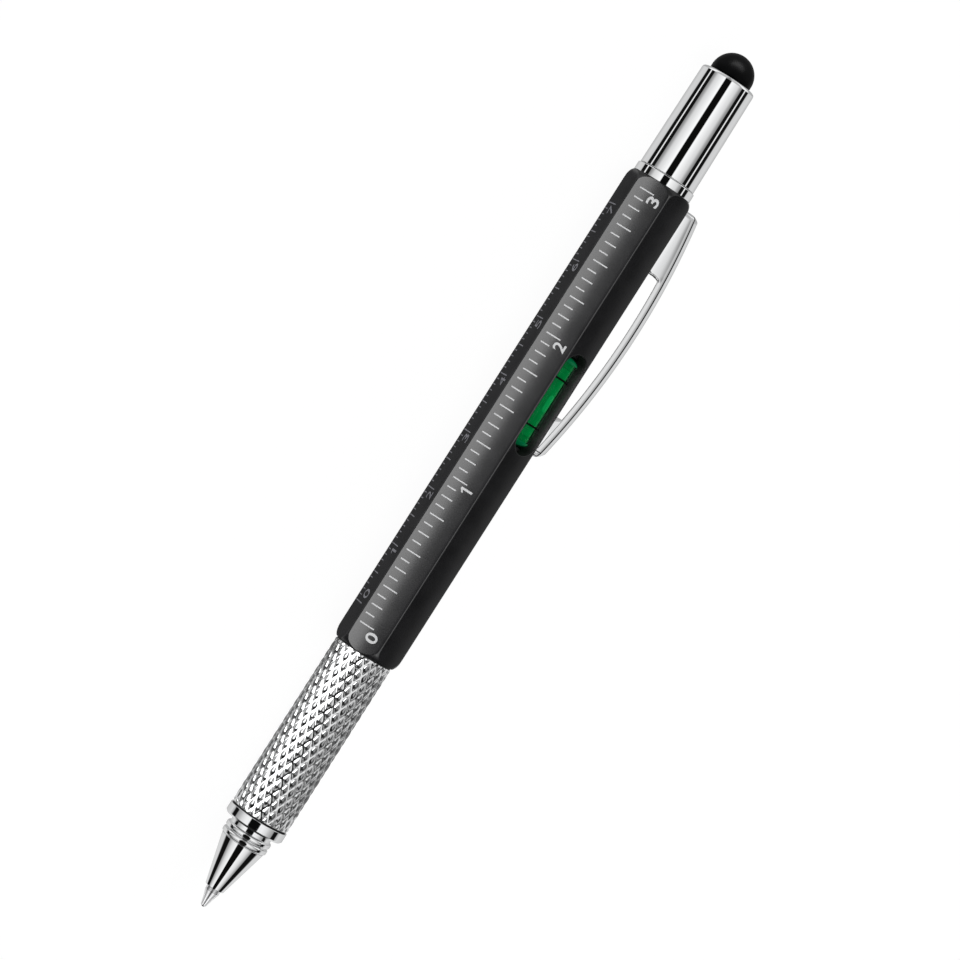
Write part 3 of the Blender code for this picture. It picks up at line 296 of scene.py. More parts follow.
class Wire:
    """A shader socket that takes part in arithmetic, adding a Math node for each operation."""

    def __init__(self, tree: bpy.types.NodeTree, socket: bpy.types.NodeSocket) -> None:
        """Wraps an output socket of a node tree."""
        self.tree = tree
        self.socket = socket

    def math(self, operation: str, *others: "Wire | float",
             first: "Wire | float | None" = None) -> "Wire":
        """Adds a Math node on this value and others.

        Args:
            operation: the Math node's operation.
            others: the values after this one.
            first: a value that takes this one's place, so that this one comes second.

        Returns:
            The node's result.
        """
        node = self.tree.nodes.new("ShaderNodeMath")
        node.operation = operation
        values = (first, self, *others) if first is not None else (self, *others)
        for socket, value in zip(node.inputs, values):
            plug(self.tree, socket, value)
        return Wire(self.tree, node.outputs[0])

    def __add__(self, other: "Wire | float") -> "Wire":
        """Sum."""
        return self.math("ADD", other)

    __radd__ = __add__

    def __sub__(self, other: "Wire | float") -> "Wire":
        """Difference."""
        return self.math("SUBTRACT", other)

    def __rsub__(self, other: float) -> "Wire":
        """Difference from a number."""
        return self.math("SUBTRACT", first=other)

    def __mul__(self, other: "Wire | float") -> "Wire":
        """Product."""
        return self.math("MULTIPLY", other)

    def __truediv__(self, other: "Wire | float") -> "Wire":
        """Quotient."""
        return self.math("DIVIDE", other)

    def __abs__(self) -> "Wire":
        """Size without sign."""
        return self.math("ABSOLUTE")

    def span(self, low: float, high: float) -> "Wire":
        """Held between 0 at low and 1 at high, in a straight line."""
        node = self.tree.nodes.new("ShaderNodeMapRange")
        plug(self.tree, node.inputs["Value"], self)
        node.inputs["From Min"].default_value = low
        node.inputs["From Max"].default_value = high
        return Wire(self.tree, node.outputs[0])


def plug(tree: bpy.types.NodeTree, socket: bpy.types.NodeSocket, value: object) -> None:
    """Links a wire to a socket, or sets the socket's own value."""
    if isinstance(value, Wire):
        tree.links.new(value.socket, socket)
    elif isinstance(value, tuple) and len(value) == 3 and len(socket.default_value) == 4:
        socket.default_value = (*value, 1.0)
    else:
        socket.default_value = value


class Nodes:
    """A node tree that hands out wires."""

    def __init__(self, tree: bpy.types.NodeTree) -> None:
        """Clears the tree and starts afresh."""
        self.tree = tree
        tree.nodes.clear()

    def add(self, kind: str, settings: dict | None = None, sockets: dict | None = None,
            output: int | str = 0) -> Wire | None:
        """Adds a node of any kind.

        Args:
            kind: the node's type after ShaderNode.
            settings: its properties, set first; "stops" are a colour ramp's (place, value) pairs.
            sockets: values or wires of its input sockets, by name or number.
            output: the output that is wanted.

        Returns:
            That output's wire, or nothing from a node without outputs.
        """
        node = self.tree.nodes.new("ShaderNode" + kind)
        for key, value in (settings or {}).items():
            if key == "stops":
                self.set_stops(node.color_ramp, value)
            else:
                setattr(node, key, value)
        for key, value in (sockets or {}).items():
            plug(self.tree, node.inputs[key], value)
        return Wire(self.tree, node.outputs[output]) if node.outputs else None

    @staticmethod
    def set_stops(ramp: bpy.types.ColorRamp, stops: list[tuple[float, object]]) -> None:
        """Gives a colour ramp its stops, each a place with a grey or a colour."""
        while len(ramp.elements) < len(stops):
            ramp.elements.new(1.0)
        for element, (place, value) in zip(ramp.elements, stops):
            element.position = place
            colour = (value,) * 3 if isinstance(value, float) else value
            element.color = (*colour, 1.0)

    def where(self) -> Wire:
        """Object coordinates, which on every piece are the world's metres at rest."""
        return self.add("TexCoord", output="Object")

    def place(self) -> tuple[Wire, Wire, Wire]:
        """A point's station, and how far it lies sideways of the axis and above it, in mm."""
        node = self.tree.nodes.new("ShaderNodeSeparateXYZ")
        plug(self.tree, node.inputs[0], self.where())
        x, y, z = (Wire(self.tree, output) for output in node.outputs)
        return (TIP_X - x) / MM, y / MM, (z - AXIS_Z) / MM

    def noise(self, size: float, detail: float, stretch: Triple = (1, 1, 1)) -> Wire:
        """Noise about 0 to 1 whose grain is a size in millimetres, drawn out along an axis."""
        scale = tuple(1.0 / part for part in stretch)
        spot = self.add("Mapping", {"vector_type": "POINT"},
                        {"Vector": self.where(), "Scale": scale})
        values = {"Vector": spot, "Scale": 1.0 / (size * MM), "Detail": detail}
        return self.add("TexNoise", {"noise_dimensions": "3D"}, values)

    def blend(self, share: Wire | float, one: object, other: object) -> Wire:
        """A colour between two, from one at share 0 to the other at 1."""
        values = {0: share, 6: one, 7: other}
        return self.add("Mix", {"data_type": "RGBA"}, values, output=2)

    def bump(self, height: Wire, depth: float, strength: float) -> Wire:
        """A normal bent by a height from 0 to 1 that stands for a depth in millimetres."""
        return self.add("Bump", None, {
            "Height": height, "Distance": depth * MM, "Strength": strength})

    def principled(self, sockets: dict) -> Wire:
        """The general shader, with the sockets given."""
        return self.add("BsdfPrincipled", None, sockets)


@dataclass(frozen=True)
class Finish:
    """A finish of the pen's: a record slot and the material made for it."""

    slot: str

    def surface(self, nodes: Nodes) -> Wire:
        """The shader that this finish is seen through."""
        raise NotImplementedError

    def material(self) -> bpy.types.Material:
        """Makes the material, or returns it if this finish has been made before."""
        if self not in MADE:
            made = bpy.data.materials.new(f"{self.slot}_{type(self).__name__.lower()}")
            made.use_nodes = True
            nodes = Nodes(made.node_tree)
            nodes.add("OutputMaterial", None, {"Surface": self.surface(nodes)})
            MADE[self] = made
        return MADE[self]


@dataclass(frozen=True)
class Chrome(Finish):
    """Bright chrome plate: a hard mirror with a trace of polishing haze."""

    slot: str = "chrome"
    tint: Triple = (0.86, 0.865, 0.87)
    polish: float = 0.015
    haze: float = 0.012
    relief: float = 0.0001

    def extra(self, nodes: Nodes) -> Wire | float:
        """Roughness added where a chromed piece isn't polished."""
        return 0.0

    def colour(self, nodes: Nodes) -> Wire | Triple:
        """The plate's colour."""
        return self.tint

    def surface(self, nodes: Nodes) -> Wire:
        """Metal whose roughness follows fine turning marks and faint smears."""
        marks = nodes.noise(0.35, 2.0, (0.08, 1.0, 1.0))
        smears = nodes.noise(6.0, 3.0)
        rough = self.polish + marks * (self.haze * 0.4) + smears.span(0.55, 0.8) * self.haze
        return nodes.principled({
            "Base Color": self.colour(nodes), "Metallic": 1.0,
            "Roughness": rough + self.extra(nodes), "Normal": nodes.bump(marks, self.relief, 0.3)})


@dataclass(frozen=True)
class KnurledChrome(Chrome):
    """Chrome over cut knurls, bright in the grooves, with painted shade dimming the pillows' tops
    to grey.
    """

    slot: str = "knurled_chrome"
    polish: float = 0.08
    haze: float = 0.03
    # Painted shade: a grey that dims the reflection on the pillows' tops.
    handled: Triple = (0.36, 0.363, 0.367)
    bright_radius: float = 4.7
    handled_radius: float = 4.76
    first: float = GRIP_START
    last: float = GRIP_END
    # Painted shadow of the gaps: the two narrow rims beside the neighbouring pieces are black.
    dull_length: float = 0.17
    dull_edge: float = 0.02
    dull_tint: Triple = (0.01, 0.01, 0.01)

    def surface(self, nodes: Nodes) -> Wire:
        """Chrome as above, with painted shadow: black and matt in the two narrow rims beside the
        neighbouring pieces, where the gaps lie in shade.
        """
        station, side, up = nodes.place()
        radius = (side * side + up * up).math("SQRT")
        # Share of the painted shade on the pillows' tops, by their height.
        peak = radius.span(self.bright_radius, self.handled_radius)
        inner = (station - (self.first + self.dull_length)).math(
            "MINIMUM", self.last - self.dull_length - station)
        # 1 away from the rims and 0 on their painted shadow.
        outside_rim_shadow = inner.span(-self.dull_edge, self.dull_edge)
        tint = nodes.blend(outside_rim_shadow, self.dull_tint, nodes.blend(peak, self.tint, self.handled))
        rough = self.polish + nodes.noise(0.6, 2.0) * self.haze + (1.0 - outside_rim_shadow) * 0.5
        return nodes.principled({"Base Color": tint, "Metallic": outside_rim_shadow, "Roughness": rough})


@dataclass(frozen=True)
class ClipChrome(Chrome):
    """Chrome on pressed sheet, satin inside the channel, with a line of painted shade along the
    fold.
    """

    slot: str = "clip_chrome"
    polish: float = 0.04
    satin: float = 0.4
    fold_tint: Triple = (0.05, 0.05, 0.05)

    def extra(self, nodes: Nodes) -> Wire | float:
        """The channel's inside, which the polishing wheel doesn't reach, is satin."""
        return nodes.add("Attribute", {"attribute_name": "inside"}, output="Fac") * self.satin

    def colour(self, nodes: Nodes) -> Wire | Triple:
        """The plate's tint, with painted shade darkening it along the line where the sheet is
        folded.
        """
        fold = nodes.add("Attribute", {"attribute_name": "fold"}, output="Fac")
        return nodes.blend(fold, self.tint, self.fold_tint)


@dataclass(frozen=True)
class Lacquer(Finish):
    """Satin black lacquer with a faint grain, raw metal on the walls of the level's slot, and
    painted shadow at the slot's ends.
    """

    slot: str = "black_lacquer"
    shade: Triple = (0.004, 0.004, 0.0043)
    wall_shade: Triple = (0.05, 0.045, 0.048)
    end_shade: Triple = (0.003, 0.003, 0.003)
    gloss: float = 0.2
    index: float = 1.35
    slot_middle: float = LEVEL_MIDDLE
    slot_reach: float = 8.6
    slot_half: float = 2.55
    flat_height: float = 4.7
    wall_edge: float = 0.02
    dark_from: float = 5.6
    dark_to: float = 7.6

    def slot_wall(self, along: Wire, side: Wire, up: Wire) -> Wire:
        """1 on the walls of the level's slot and 0 on the outer skin, by place alone."""
        inside = (self.slot_reach - along).math("MINIMUM", self.slot_half - abs(side))
        deep = (self.flat_height - up).math("MINIMUM", up)
        return inside.math("MINIMUM", deep).span(-self.wall_edge, self.wall_edge)

    def surface(self, nodes: Nodes) -> Wire:
        """Dark paint with a fine grain; the slot's walls are coarser, with painted shadow towards
        its ends.
        """
        grain, cloud = nodes.noise(0.12, 4.0), nodes.noise(3.0, 2.0)
        station, side, up = nodes.place()
        along = abs(station - self.slot_middle)
        wall = self.slot_wall(along, side, up)
        rough = self.gloss + (grain - 0.5) * 0.05 + (cloud - 0.5) * 0.05 + wall * 0.4
        skin = nodes.blend(cloud.span(0.3, 0.7), self.shade, scaled(self.shade, 1.5))
        raw = nodes.blend(grain.span(0.35, 0.65), scaled(self.wall_shade, 0.5), self.wall_shade)
        # Painted shadow: the walls go darker towards the slot's ends.
        raw = nodes.blend(along.span(self.dark_from, self.dark_to), raw, self.end_shade)
        return nodes.principled({
            "Base Color": nodes.blend(wall, skin, raw), "Roughness": rough, "IOR": self.index,
            "Normal": nodes.bump(grain, 0.0022, 0.5)})


@dataclass(frozen=True)
class Moulded(Finish):
    """A plain moulded or turned solid: plastic, rubber or ink, with a fine grain."""

    slot: str = "dark_plastic"
    shade: Triple = (0.018, 0.017, 0.018)
    gloss: float = 0.5
    grain: float = 0.15
    relief: float = 0.01
    index: float = 1.5

    def surface(self, nodes: Nodes) -> Wire:
        """A dielectric whose grain shows in colour, roughness and relief."""
        grain = nodes.noise(self.grain, 4.0)
        cloud = nodes.noise(self.grain * 12.0, 2.0)
        colour = nodes.blend(cloud.span(0.3, 0.7), self.shade, scaled(self.shade, 1.35))
        return nodes.principled({
            "Base Color": colour, "Roughness": self.gloss + (grain - 0.5) * 0.12,
            "IOR": self.index, "Normal": nodes.bump(grain, self.relief, 0.6)})


@dataclass(frozen=True)
class TurnedMetal(Finish):
    """Bare turned metal: brass, bright steel or dark tool steel, with marks from the lathe."""

    slot: str = "steel"
    tint: Triple = (0.55, 0.55, 0.56)
    gloss: float = 0.22

    def surface(self, nodes: Nodes) -> Wire:
        """Metal whose lathe marks are bands across the pen's length."""
        marks = nodes.noise(0.5, 4.0, (0.06, 1.0, 1.0))
        stain = nodes.noise(2.5, 3.0)
        colour = nodes.blend(stain.span(0.35, 0.75), self.tint, scaled(self.tint, 0.78))
        return nodes.principled({
            "Base Color": colour, "Metallic": 1.0, "Roughness": self.gloss + marks * 0.12,
            "Normal": nodes.bump(marks, 0.003, 0.6)})


@dataclass(frozen=True)
class Print(Finish):
    """White print of the rules: a matt film that lets a little of the lacquer through."""

    slot: str = "black_lacquer"
    shade: Triple = (0.8, 0.81, 0.82)

    def surface(self, nodes: Nodes) -> Wire:
        """A pale film with thin spots."""
        thin = nodes.noise(0.08, 3.0).span(0.25, 0.75)
        colour = nodes.blend(thin, scaled(self.shade, 0.9), self.shade)
        return nodes.principled({"Base Color": colour, "Roughness": 0.45 + thin * 0.1})


@dataclass(frozen=True)
class FaintPrint(Print):
    """The centimetre rule's print, thinner, and painted greyer as shade for its flat, which faces
    away from the light.
    """

    # Painted shade: a grey in place of the print's white.
    shade: Triple = (0.2, 0.2, 0.22)


@dataclass(frozen=True)
class ClearAcrylic(Finish):
    """Clear acrylic of the vial, seen through and glossy."""

    slot: str = "clear_acrylic"
    tint: Triple = (0.75, 1.0, 0.85)
    gloss_tint: Triple = (0.55, 0.95, 0.7)
    index: float = 1.1
    most_gloss: float = 0.06

    def surface(self, nodes: Nodes) -> Wire:
        """A gloss over a clear body, by Fresnel up to a limit, with a few faint scratches."""
        scratch = nodes.noise(0.4, 4.0, (6.0, 0.3, 0.3)).span(0.6, 0.9)
        gloss = nodes.principled({
            "Base Color": self.gloss_tint, "Metallic": 1.0, "Roughness": 0.04 + scratch * 0.1})
        clear = nodes.add("BsdfTransparent", None, {"Color": self.tint})
        share = nodes.add("Fresnel", None, {"IOR": self.index}).math("MINIMUM", self.most_gloss)
        return nodes.add("MixShader", None, {0: share, 1: clear, 2: gloss})


@dataclass(frozen=True)
class GreenSpirit(Finish):
    """Dyed spirit in the vial, with painted light: a glow that stands in for light coming through
    it, and painted shade towards its limbs.
    """

    slot: str = "green_liquid"
    shade: Triple = (0.0, 0.2, 0.066)
    # Emission as painted light, for the light that comes through the spirit.
    glow: float = 0.35
    limb_from: float = 0.55
    limb_to: float = 0.75
    index: float = 1.15

    def surface(self, nodes: Nodes) -> Wire:
        """Green with a little painted glow, mottled by very faint clouds, and painted shade where
        it turns from view.
        """
        depth = nodes.noise(1.4, 2.0)
        colour = nodes.blend(depth.span(0.3, 0.7), self.shade, scaled(self.shade, 0.8))
        # Painted shade: darker where the surface turns away from the view.
        facing = nodes.add("LayerWeight", None, {"Blend": 0.5}, output="Facing")
        limb = facing.span(self.limb_from, self.limb_to)
        colour = nodes.blend(limb, colour, scaled(self.shade, 0.06))
        return nodes.principled({
            "Base Color": colour, "Roughness": 0.12 + depth * 0.03, "IOR": self.index,
            "Emission Color": colour, "Emission Strength": self.glow})


@dataclass(frozen=True)
class AirBubble(Finish):
    """The level's bubble, a lighter green than the spirit round it, with a painted glow."""

    slot: str = "bubble"
    deep: Triple = (0.001, 0.25, 0.09)
    pale: Triple = (0.006, 0.32, 0.12)
    # Emission as painted light.
    glow: float = 0.35
    index: float = 1.2

    def surface(self, nodes: Nodes) -> Wire:
        """Light green, glossy, with a little painted glow, and its own fine unevenness."""
        ripple = nodes.noise(0.5, 2.0)
        colour = nodes.blend(ripple, self.deep, self.pale)
        return nodes.principled({
            "Base Color": colour, "Roughness": 0.05 + ripple * 0.03, "IOR": self.index,
            "Emission Color": colour, "Emission Strength": self.glow})


STEEL = TurnedMetal()
POINT_STEEL = TurnedMetal("steel", (0.95, 0.95, 0.96), 0.2)
# The clear plugs are painted in the spirit's green, with its painted glow and painted limb shade.
GLOWING_PLUG_GREEN = GreenSpirit("clear_acrylic", (0.0, 0.16, 0.052), 0.34)
TOOL_STEEL = TurnedMetal("tool_steel", (0.2, 0.2, 0.21), 0.3)
BRASS = TurnedMetal("brass", (0.78, 0.58, 0.27), 0.24)
DARK_PLASTIC = Moulded()
ACETAL = Moulded("acetal", (0.7, 0.69, 0.65), 0.42, 0.2, 0.004)
INK = Moulded("ink", (0.006, 0.006, 0.03), 0.2, 0.4, 0.002)
SEAL_RUBBER = Moulded("seal_rubber", (0.014, 0.014, 0.014), 0.45, 0.1, 0.006)
STYLUS_RUBBER = Moulded("stylus_rubber", (0.0012, 0.0012, 0.0013), 0.34, 0.12, 0.003, 1.1)
MARKER_BLACK = Moulded("marker_black", (0.002, 0.002, 0.002), 0.5, 0.1, 0.001, 1.1)


def add_piece(name: str, mesh: bpy.types.Mesh, body: str, finish: Finish, *nodes: str) -> None:
    """Puts a finished mesh in the scene, on its body and in place of CAD nodes.

    Args:
        name: the piece's name.
        mesh: its mesh, in the world's metres.
        body: the body that it moves with.
        finish: what it is finished in.
        nodes: the CAD nodes that it replaces.
    """
    piece = link(name, mesh)
    mesh.materials.clear()
    mesh.materials.append(finish.material())
    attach(piece, body)
    if nodes:
        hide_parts(*nodes)
    log.info("%s: %d faces on %s", name, len(mesh.polygons), body)


def dress(finish: Finish, *names: str) -> None:
    """Gives CAD nodes that stay in view their material."""
    for name in names:
        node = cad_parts[name]
        node.data.materials.clear()
        node.data.materials.append(finish.material())
        log.info("%s: its own solid, in %s", name, finish.slot)


@dataclass
class WritingTip:
    """The refill's steel point and the ball in it."""

    ball_radius: float = 0.35
    lip_station: float = 0.245
    lip_radius: float = 0.44
    cone_end: float = 2.65
    body_radius: float = 1.15
    body_end: float = 7.2
    shank_radius: float = 0.85
    shank_end: float = 9.2
    seat_radius: float = 0.39
    seat_end: float = 0.74
    channel: float = 0.2
    around: int = 96

    def point(self) -> bpy.types.Mesh:
        """The turned point: a crimped lip, a cone with a step, a body and the shank in the tube."""
        path = rounded_path([
            (self.lip_station, self.seat_radius, 0.015),
            (self.lip_station, self.lip_radius, 0.03),
            (self.cone_end * 0.55, self.lip_radius + 0.31, 0.4),
            (self.cone_end, self.body_radius, 0.25),
            (self.body_end, self.body_radius, 0.08),
            (self.body_end, self.shank_radius, 0.0),
            (self.shank_end, self.shank_radius, 0.05),
            (self.shank_end, self.channel, 0.0),
            (self.seat_end + self.channel, self.channel, 0.0),
            (self.seat_end, self.seat_radius, 0.02),
        ], closed=True)
        return Shell().turned(path, self.around, closed=True).mesh("refill_point_turned")

    def ball(self) -> bpy.types.Mesh:
        """The ball: stations and radii of a half circle, turned about the pen."""
        turn = np.linspace(0.0, math.pi, 33)
        radius = self.ball_radius * np.sin(turn)
        path = np.stack([self.ball_radius * (1.0 - np.cos(turn)), radius], axis=1)
        return Shell().turned(path, 64).mesh("writing_ball_lapped")

    def build(self) -> None:
        """Puts the point and the ball in the scene."""
        add_piece("point_turned", self.point(), "refill", POINT_STEEL, "refill_point")
        add_piece("ball_lapped", self.ball(), "ball", POINT_STEEL, "writing_ball")


@dataclass
class NoseCone:
    """The chrome nose: cone, two bead rings and a collar, on a shank inside the grip."""

    mouth: float = 3.3
    mouth_radius: float = 1.53
    cone_end: float = 11.35
    cone_radius: float = 3.55
    bead_radius: float = 3.78
    bead_pitch: float = 1.02
    bead_gap: float = 0.1
    bead_fillet: float = 0.3
    neck_radius: float = 3.4
    beads: int = 2
    collar_start: float = 14.1
    collar_end: float = 15.8
    collar_radius: float = 4.85
    chamfer: float = 0.3
    shank_radius: float = 3.65
    shank_end: float = 22.8
    mouth_bore: float = 1.25
    mouth_length: float = 1.2
    bore: float = 1.7
    bore_depth: float = 1.8
    around: int = 192

    def build(self) -> None:
        """Turns the nose's whole outline, bore and all, and adds it."""
        corners = [
            (self.mouth + self.mouth_length, self.mouth_bore, 0.0),
            (self.mouth, self.mouth_bore, 0.06),
            (self.mouth, self.mouth_radius, 0.1),
            (self.cone_end - self.bead_gap, self.cone_radius, 0.06),
            (self.cone_end - self.bead_gap / 2, self.neck_radius, 0.02),
        ]
        for bead in range(self.beads):
            low = self.cone_end + bead * self.bead_pitch
            high = low + self.bead_pitch - self.bead_gap
            corners += [(low, self.neck_radius, 0.02), (low, self.bead_radius, self.bead_fillet),
                        (high, self.bead_radius, self.bead_fillet), (high, self.neck_radius, 0.02)]
        corners += [
            (self.collar_start, self.neck_radius, 0.05),
            (self.collar_start, self.collar_radius - self.chamfer, 0.06),
            (self.collar_start + self.chamfer, self.collar_radius, 0.1),
            (self.collar_end, self.collar_radius, 0.07),
            (self.collar_end, self.shank_radius, 0.04),
            (self.shank_end, self.shank_radius, 0.15),
            (self.shank_end, self.bore, 0.1),
            (self.mouth + self.bore_depth, self.bore, 0.1),
        ]
        mesh = Shell().turned(rounded_path(corners, closed=True), self.around, closed=True)
        add_piece("nose_turned", mesh.mesh("nose_cone_turned"), "grip", Chrome(), "nose_cone")


@dataclass
class KnurledGrip:
    """The grip: two families of crossing grooves leave staggered pillows shaped as diamonds."""

    start: float = GRIP_START
    end: float = GRIP_END
    radius: float = 4.79
    depth: float = 0.16
    columns: int = 24
    half_rows: int = 20
    rim_length: float = 0.15
    rim_depth: float = 0.18
    bore: float = 3.7
    pillow: float = 2.1
    groove_share: float = 0.24
    ridge: float = 0.4
    fade_length: float = 0.25
    crease: float = 60.0
    steps_around: int = 16
    steps_along: int = 10

    def relief(self, station: np.ndarray, angle: np.ndarray) -> np.ndarray:
        """Height of the knurl over its grooves, from 0 to 1.

        Two slanting counts, rows + columns and rows - columns, are whole numbers on the grooves.
        Between them each gives 1 - |2 fraction - 1|^pillow, held at nothing over a groove's flat
        bottom, and the height is the lesser of the two with its ridge rounded.
        """
        span = self.end - self.start - 2 * self.rim_length
        rows = (station - self.start - self.rim_length) / span
        rows = rows * self.half_rows / 2
        turns = angle / math.tau * self.columns
        heights = []
        for count in (rows + turns, rows - turns):
            side = np.abs(2.0 * (count % 1.0) - 1.0) / (1.0 - self.groove_share)
            heights.append(1.0 - np.clip(side, 0.0, 1.0) ** self.pillow)
        return np.maximum(smooth_least(heights[0], heights[1], self.ridge), 0.0)

    def build(self) -> None:
        """Lays the knurl between two plain rims and closes it round the bore."""
        first, last = self.start + self.rim_length, self.end - self.rim_length
        station = np.linspace(first, last, self.half_rows * self.steps_along + 1)[:, None]
        angle = round_angles(self.columns * self.steps_around)[None, :]
        fade = np.minimum(station - first, last - station) / self.fade_length
        height = self.relief(station, angle) * smooth_step(fade)
        skin = polar(station, self.radius - self.depth + self.depth * height, angle)
        rim = self.radius - self.rim_depth
        low = rounded_path([
            (first, self.bore, 0.0), (self.start, self.bore, 0.05), (self.start, rim, 0.06),
            (first, rim, 0.0)], closed=False)
        high = rounded_path([
            (last, rim, 0.0), (self.end, rim, 0.06), (self.end, self.bore, 0.05),
            (last, self.bore, 0.0)], closed=False)
        rows = [polar(path[:, 0:1], path[:, 1:2], angle) for path in (low, high)]
        whole = np.concatenate([rows[0], skin, rows[1]])
        shell = Shell().grid(whole, wrap_rows=True, wrap_columns=True)
        mesh = shell.mesh("grip_knurled", math.radians(self.crease))
        add_piece("grip_knurled", mesh, "grip", KnurledChrome(), "grip_tube")


@dataclass
class HexBarrel:
    """The hexagonal barrel: crowned flats, rounded edges, coned ends and the level's slot."""

    start: float = 45.0
    end: float = 127.2
    apothem: float = 4.875
    crown: float = 3.4
    edge_radius: float = 0.38
    end_radius: float = 4.9
    bottom_cone: float = 2.1
    top_cone: float = 1.7
    cone_curve: float = 2.6
    bore: float = 3.4
    slot_middle: float = LEVEL_MIDDLE
    slot_length: float = 17.3
    slot_half: float = 2.5
    slot_edge: float = 0.1
    flat_steps: int = 16
    edge_steps: int = 8
    slot_margin: float = 0.5
    slot_near: float = 3.8
    mitre: float = 0.04
    end_fillet: float = 0.1
    bore_chamfer: float = 0.1
    corner_spread: float = 56.0
    least_depth: float = 0.12
    crease_rows: tuple[float, ...] = (0.1, 0.25, 0.4, 0.55, 0.7, 0.82, 0.9, 0.96, 1.0)
    rows_past: tuple[float, ...] = (0.04, 0.08, 0.14, 0.22, 0.35)
    bottom_run: float = 2.8
    bottom_rows: int = 24
    top_run: float = 2.4
    top_rows: int = 18
    flat_radius: float = field(init=False)
    edge_centre: float = field(init=False)
    touch: float = field(init=False)
    table: tuple[np.ndarray, np.ndarray] = field(init=False, repr=False)

    def __post_init__(self) -> None:
        """Works out the section's circles and a table from across to angle on a flat."""
        half = self.apothem * math.tan(HALF_FLAT)
        self.flat_radius = half / math.sin(math.radians(self.crown))
        shift = self.flat_radius - self.apothem
        reach = (self.flat_radius - self.edge_radius) ** 2 - (shift * math.sin(HALF_FLAT)) ** 2
        self.edge_centre = math.sqrt(reach) - shift * math.cos(HALF_FLAT)
        side = self.edge_centre * math.sin(HALF_FLAT)
        out = self.edge_centre * math.cos(HALF_FLAT) + shift
        self.touch = math.atan2(side * self.flat_radius / math.hypot(side, out),
                                out * self.flat_radius / math.hypot(side, out) - shift)
        angles = np.linspace(-HALF_FLAT, HALF_FLAT, 241)
        self.table = (self.section(angles) * np.sin(angles), angles)

    def section(self, angle: np.ndarray) -> np.ndarray:
        """Radius of the section at an angle round the pen.

        Measured from the nearest flat's normal, the flat is an arc of a large circle whose centre
        lies behind the axis, and past the touching angle the edge is an arc of a small circle on
        the line to the corner. Each radius is the far root of the circle's distance equation.
        """
        local = from_flat(angle)
        shift = self.flat_radius - self.apothem
        flat = np.sqrt(self.flat_radius**2 - (shift * np.sin(local)) ** 2) - shift * np.cos(local)
        corner = HALF_FLAT - np.abs(local)
        inside = np.maximum(self.edge_radius**2 - (self.edge_centre * np.sin(corner)) ** 2, 0.0)
        edge = self.edge_centre * np.cos(corner) + np.sqrt(inside)
        return np.where(np.abs(local) > self.touch, edge, flat)

    def height(self, across: np.ndarray) -> np.ndarray:
        """How far a flat's surface stands out from the axis at a distance from its middle line."""
        shift = self.flat_radius - self.apothem
        return np.sqrt(self.flat_radius**2 - across**2) - shift

    def angles(self) -> np.ndarray:
        """Angles round the section: even steps on each flat and closer ones on each edge."""
        flat = np.linspace(-self.touch, self.touch, self.flat_steps + 1)
        edge = np.linspace(self.touch, FLAT_TURN - self.touch, self.edge_steps + 1)[1:-1]
        one = np.concatenate([flat, edge])
        return (one[None, :] + np.arange(6)[:, None] * FLAT_TURN).ravel()

    def cone(self, station: np.ndarray) -> np.ndarray:
        """Radius of the ends' turning: end + rise (1 - (1 - depth / length)^curve)."""
        rise = self.edge_centre + self.edge_radius - self.end_radius
        ends = []
        for depth, length in ((station - self.start, self.bottom_cone),
                              (self.end - station, self.top_cone)):
            share = np.clip(depth / length, 0.0, 1.0)
            past = np.maximum(depth / length - 1.0, 0.0)
            ends.append(self.end_radius + rise * (1.0 - (1.0 - share) ** self.cone_curve + past))
        return np.minimum(*ends)

    def skin(self, angle: np.ndarray) -> tuple[np.ndarray, np.ndarray]:
        """Stations and radii of the outer skin, in rows that follow the creases of the ends.

        At each angle the end's turning meets the flats where its radius is the section's. Rows are
        packed about that station, and the radius is the rounded lesser of the two.
        """
        section = self.section(angle)
        rise = self.edge_centre + self.edge_radius - self.end_radius
        share = np.clip((section - self.end_radius) / rise, 0.0, 1.0)
        depth = 1.0 - (1.0 - share) ** (1.0 / self.cone_curve)
        spread = np.array(self.crease_rows)[:, None]
        beyond = np.array(self.rows_past)[:, None]
        low_crease = np.maximum(depth * self.bottom_cone, self.least_depth)
        high_crease = np.maximum(depth * self.top_cone, self.least_depth)
        low = self.start + np.concatenate([low_crease * spread, low_crease + beyond])
        high = self.end - np.concatenate([high_crease * spread, high_crease + beyond])[::-1]
        first, last = self.slot_range()
        middle = np.concatenate([
            np.linspace(self.start + self.bottom_run, first, self.bottom_rows)[:-1],
            self.slot_stations(),
            np.linspace(last, self.end - self.top_run, self.top_rows)[1:]])
        even = np.broadcast_to(middle[:, None], (len(middle), len(angle)))
        station = np.concatenate([low, even, high])
        flats = np.broadcast_to(section, station.shape)
        radius = smooth_least(flats, self.cone(station), self.mitre)
        return station, radius

    def slot_range(self) -> tuple[float, float]:
        """Stations between which the level's flat gives way to the slot's own patch."""
        reach = self.slot_length / 2 + self.slot_margin
        return self.slot_middle - reach, self.slot_middle + reach

    def slot_stations(self) -> np.ndarray:
        """Stations along the slot, closer together round its ends."""
        first, last = self.slot_range()
        near = first + np.concatenate([np.linspace(0.0, 3.2, 15), [3.5, self.slot_near]])
        middle = np.linspace(near[-1], last - self.slot_near, 12)[1:-1]
        return np.concatenate([near, middle, (first + last - near)[::-1]])

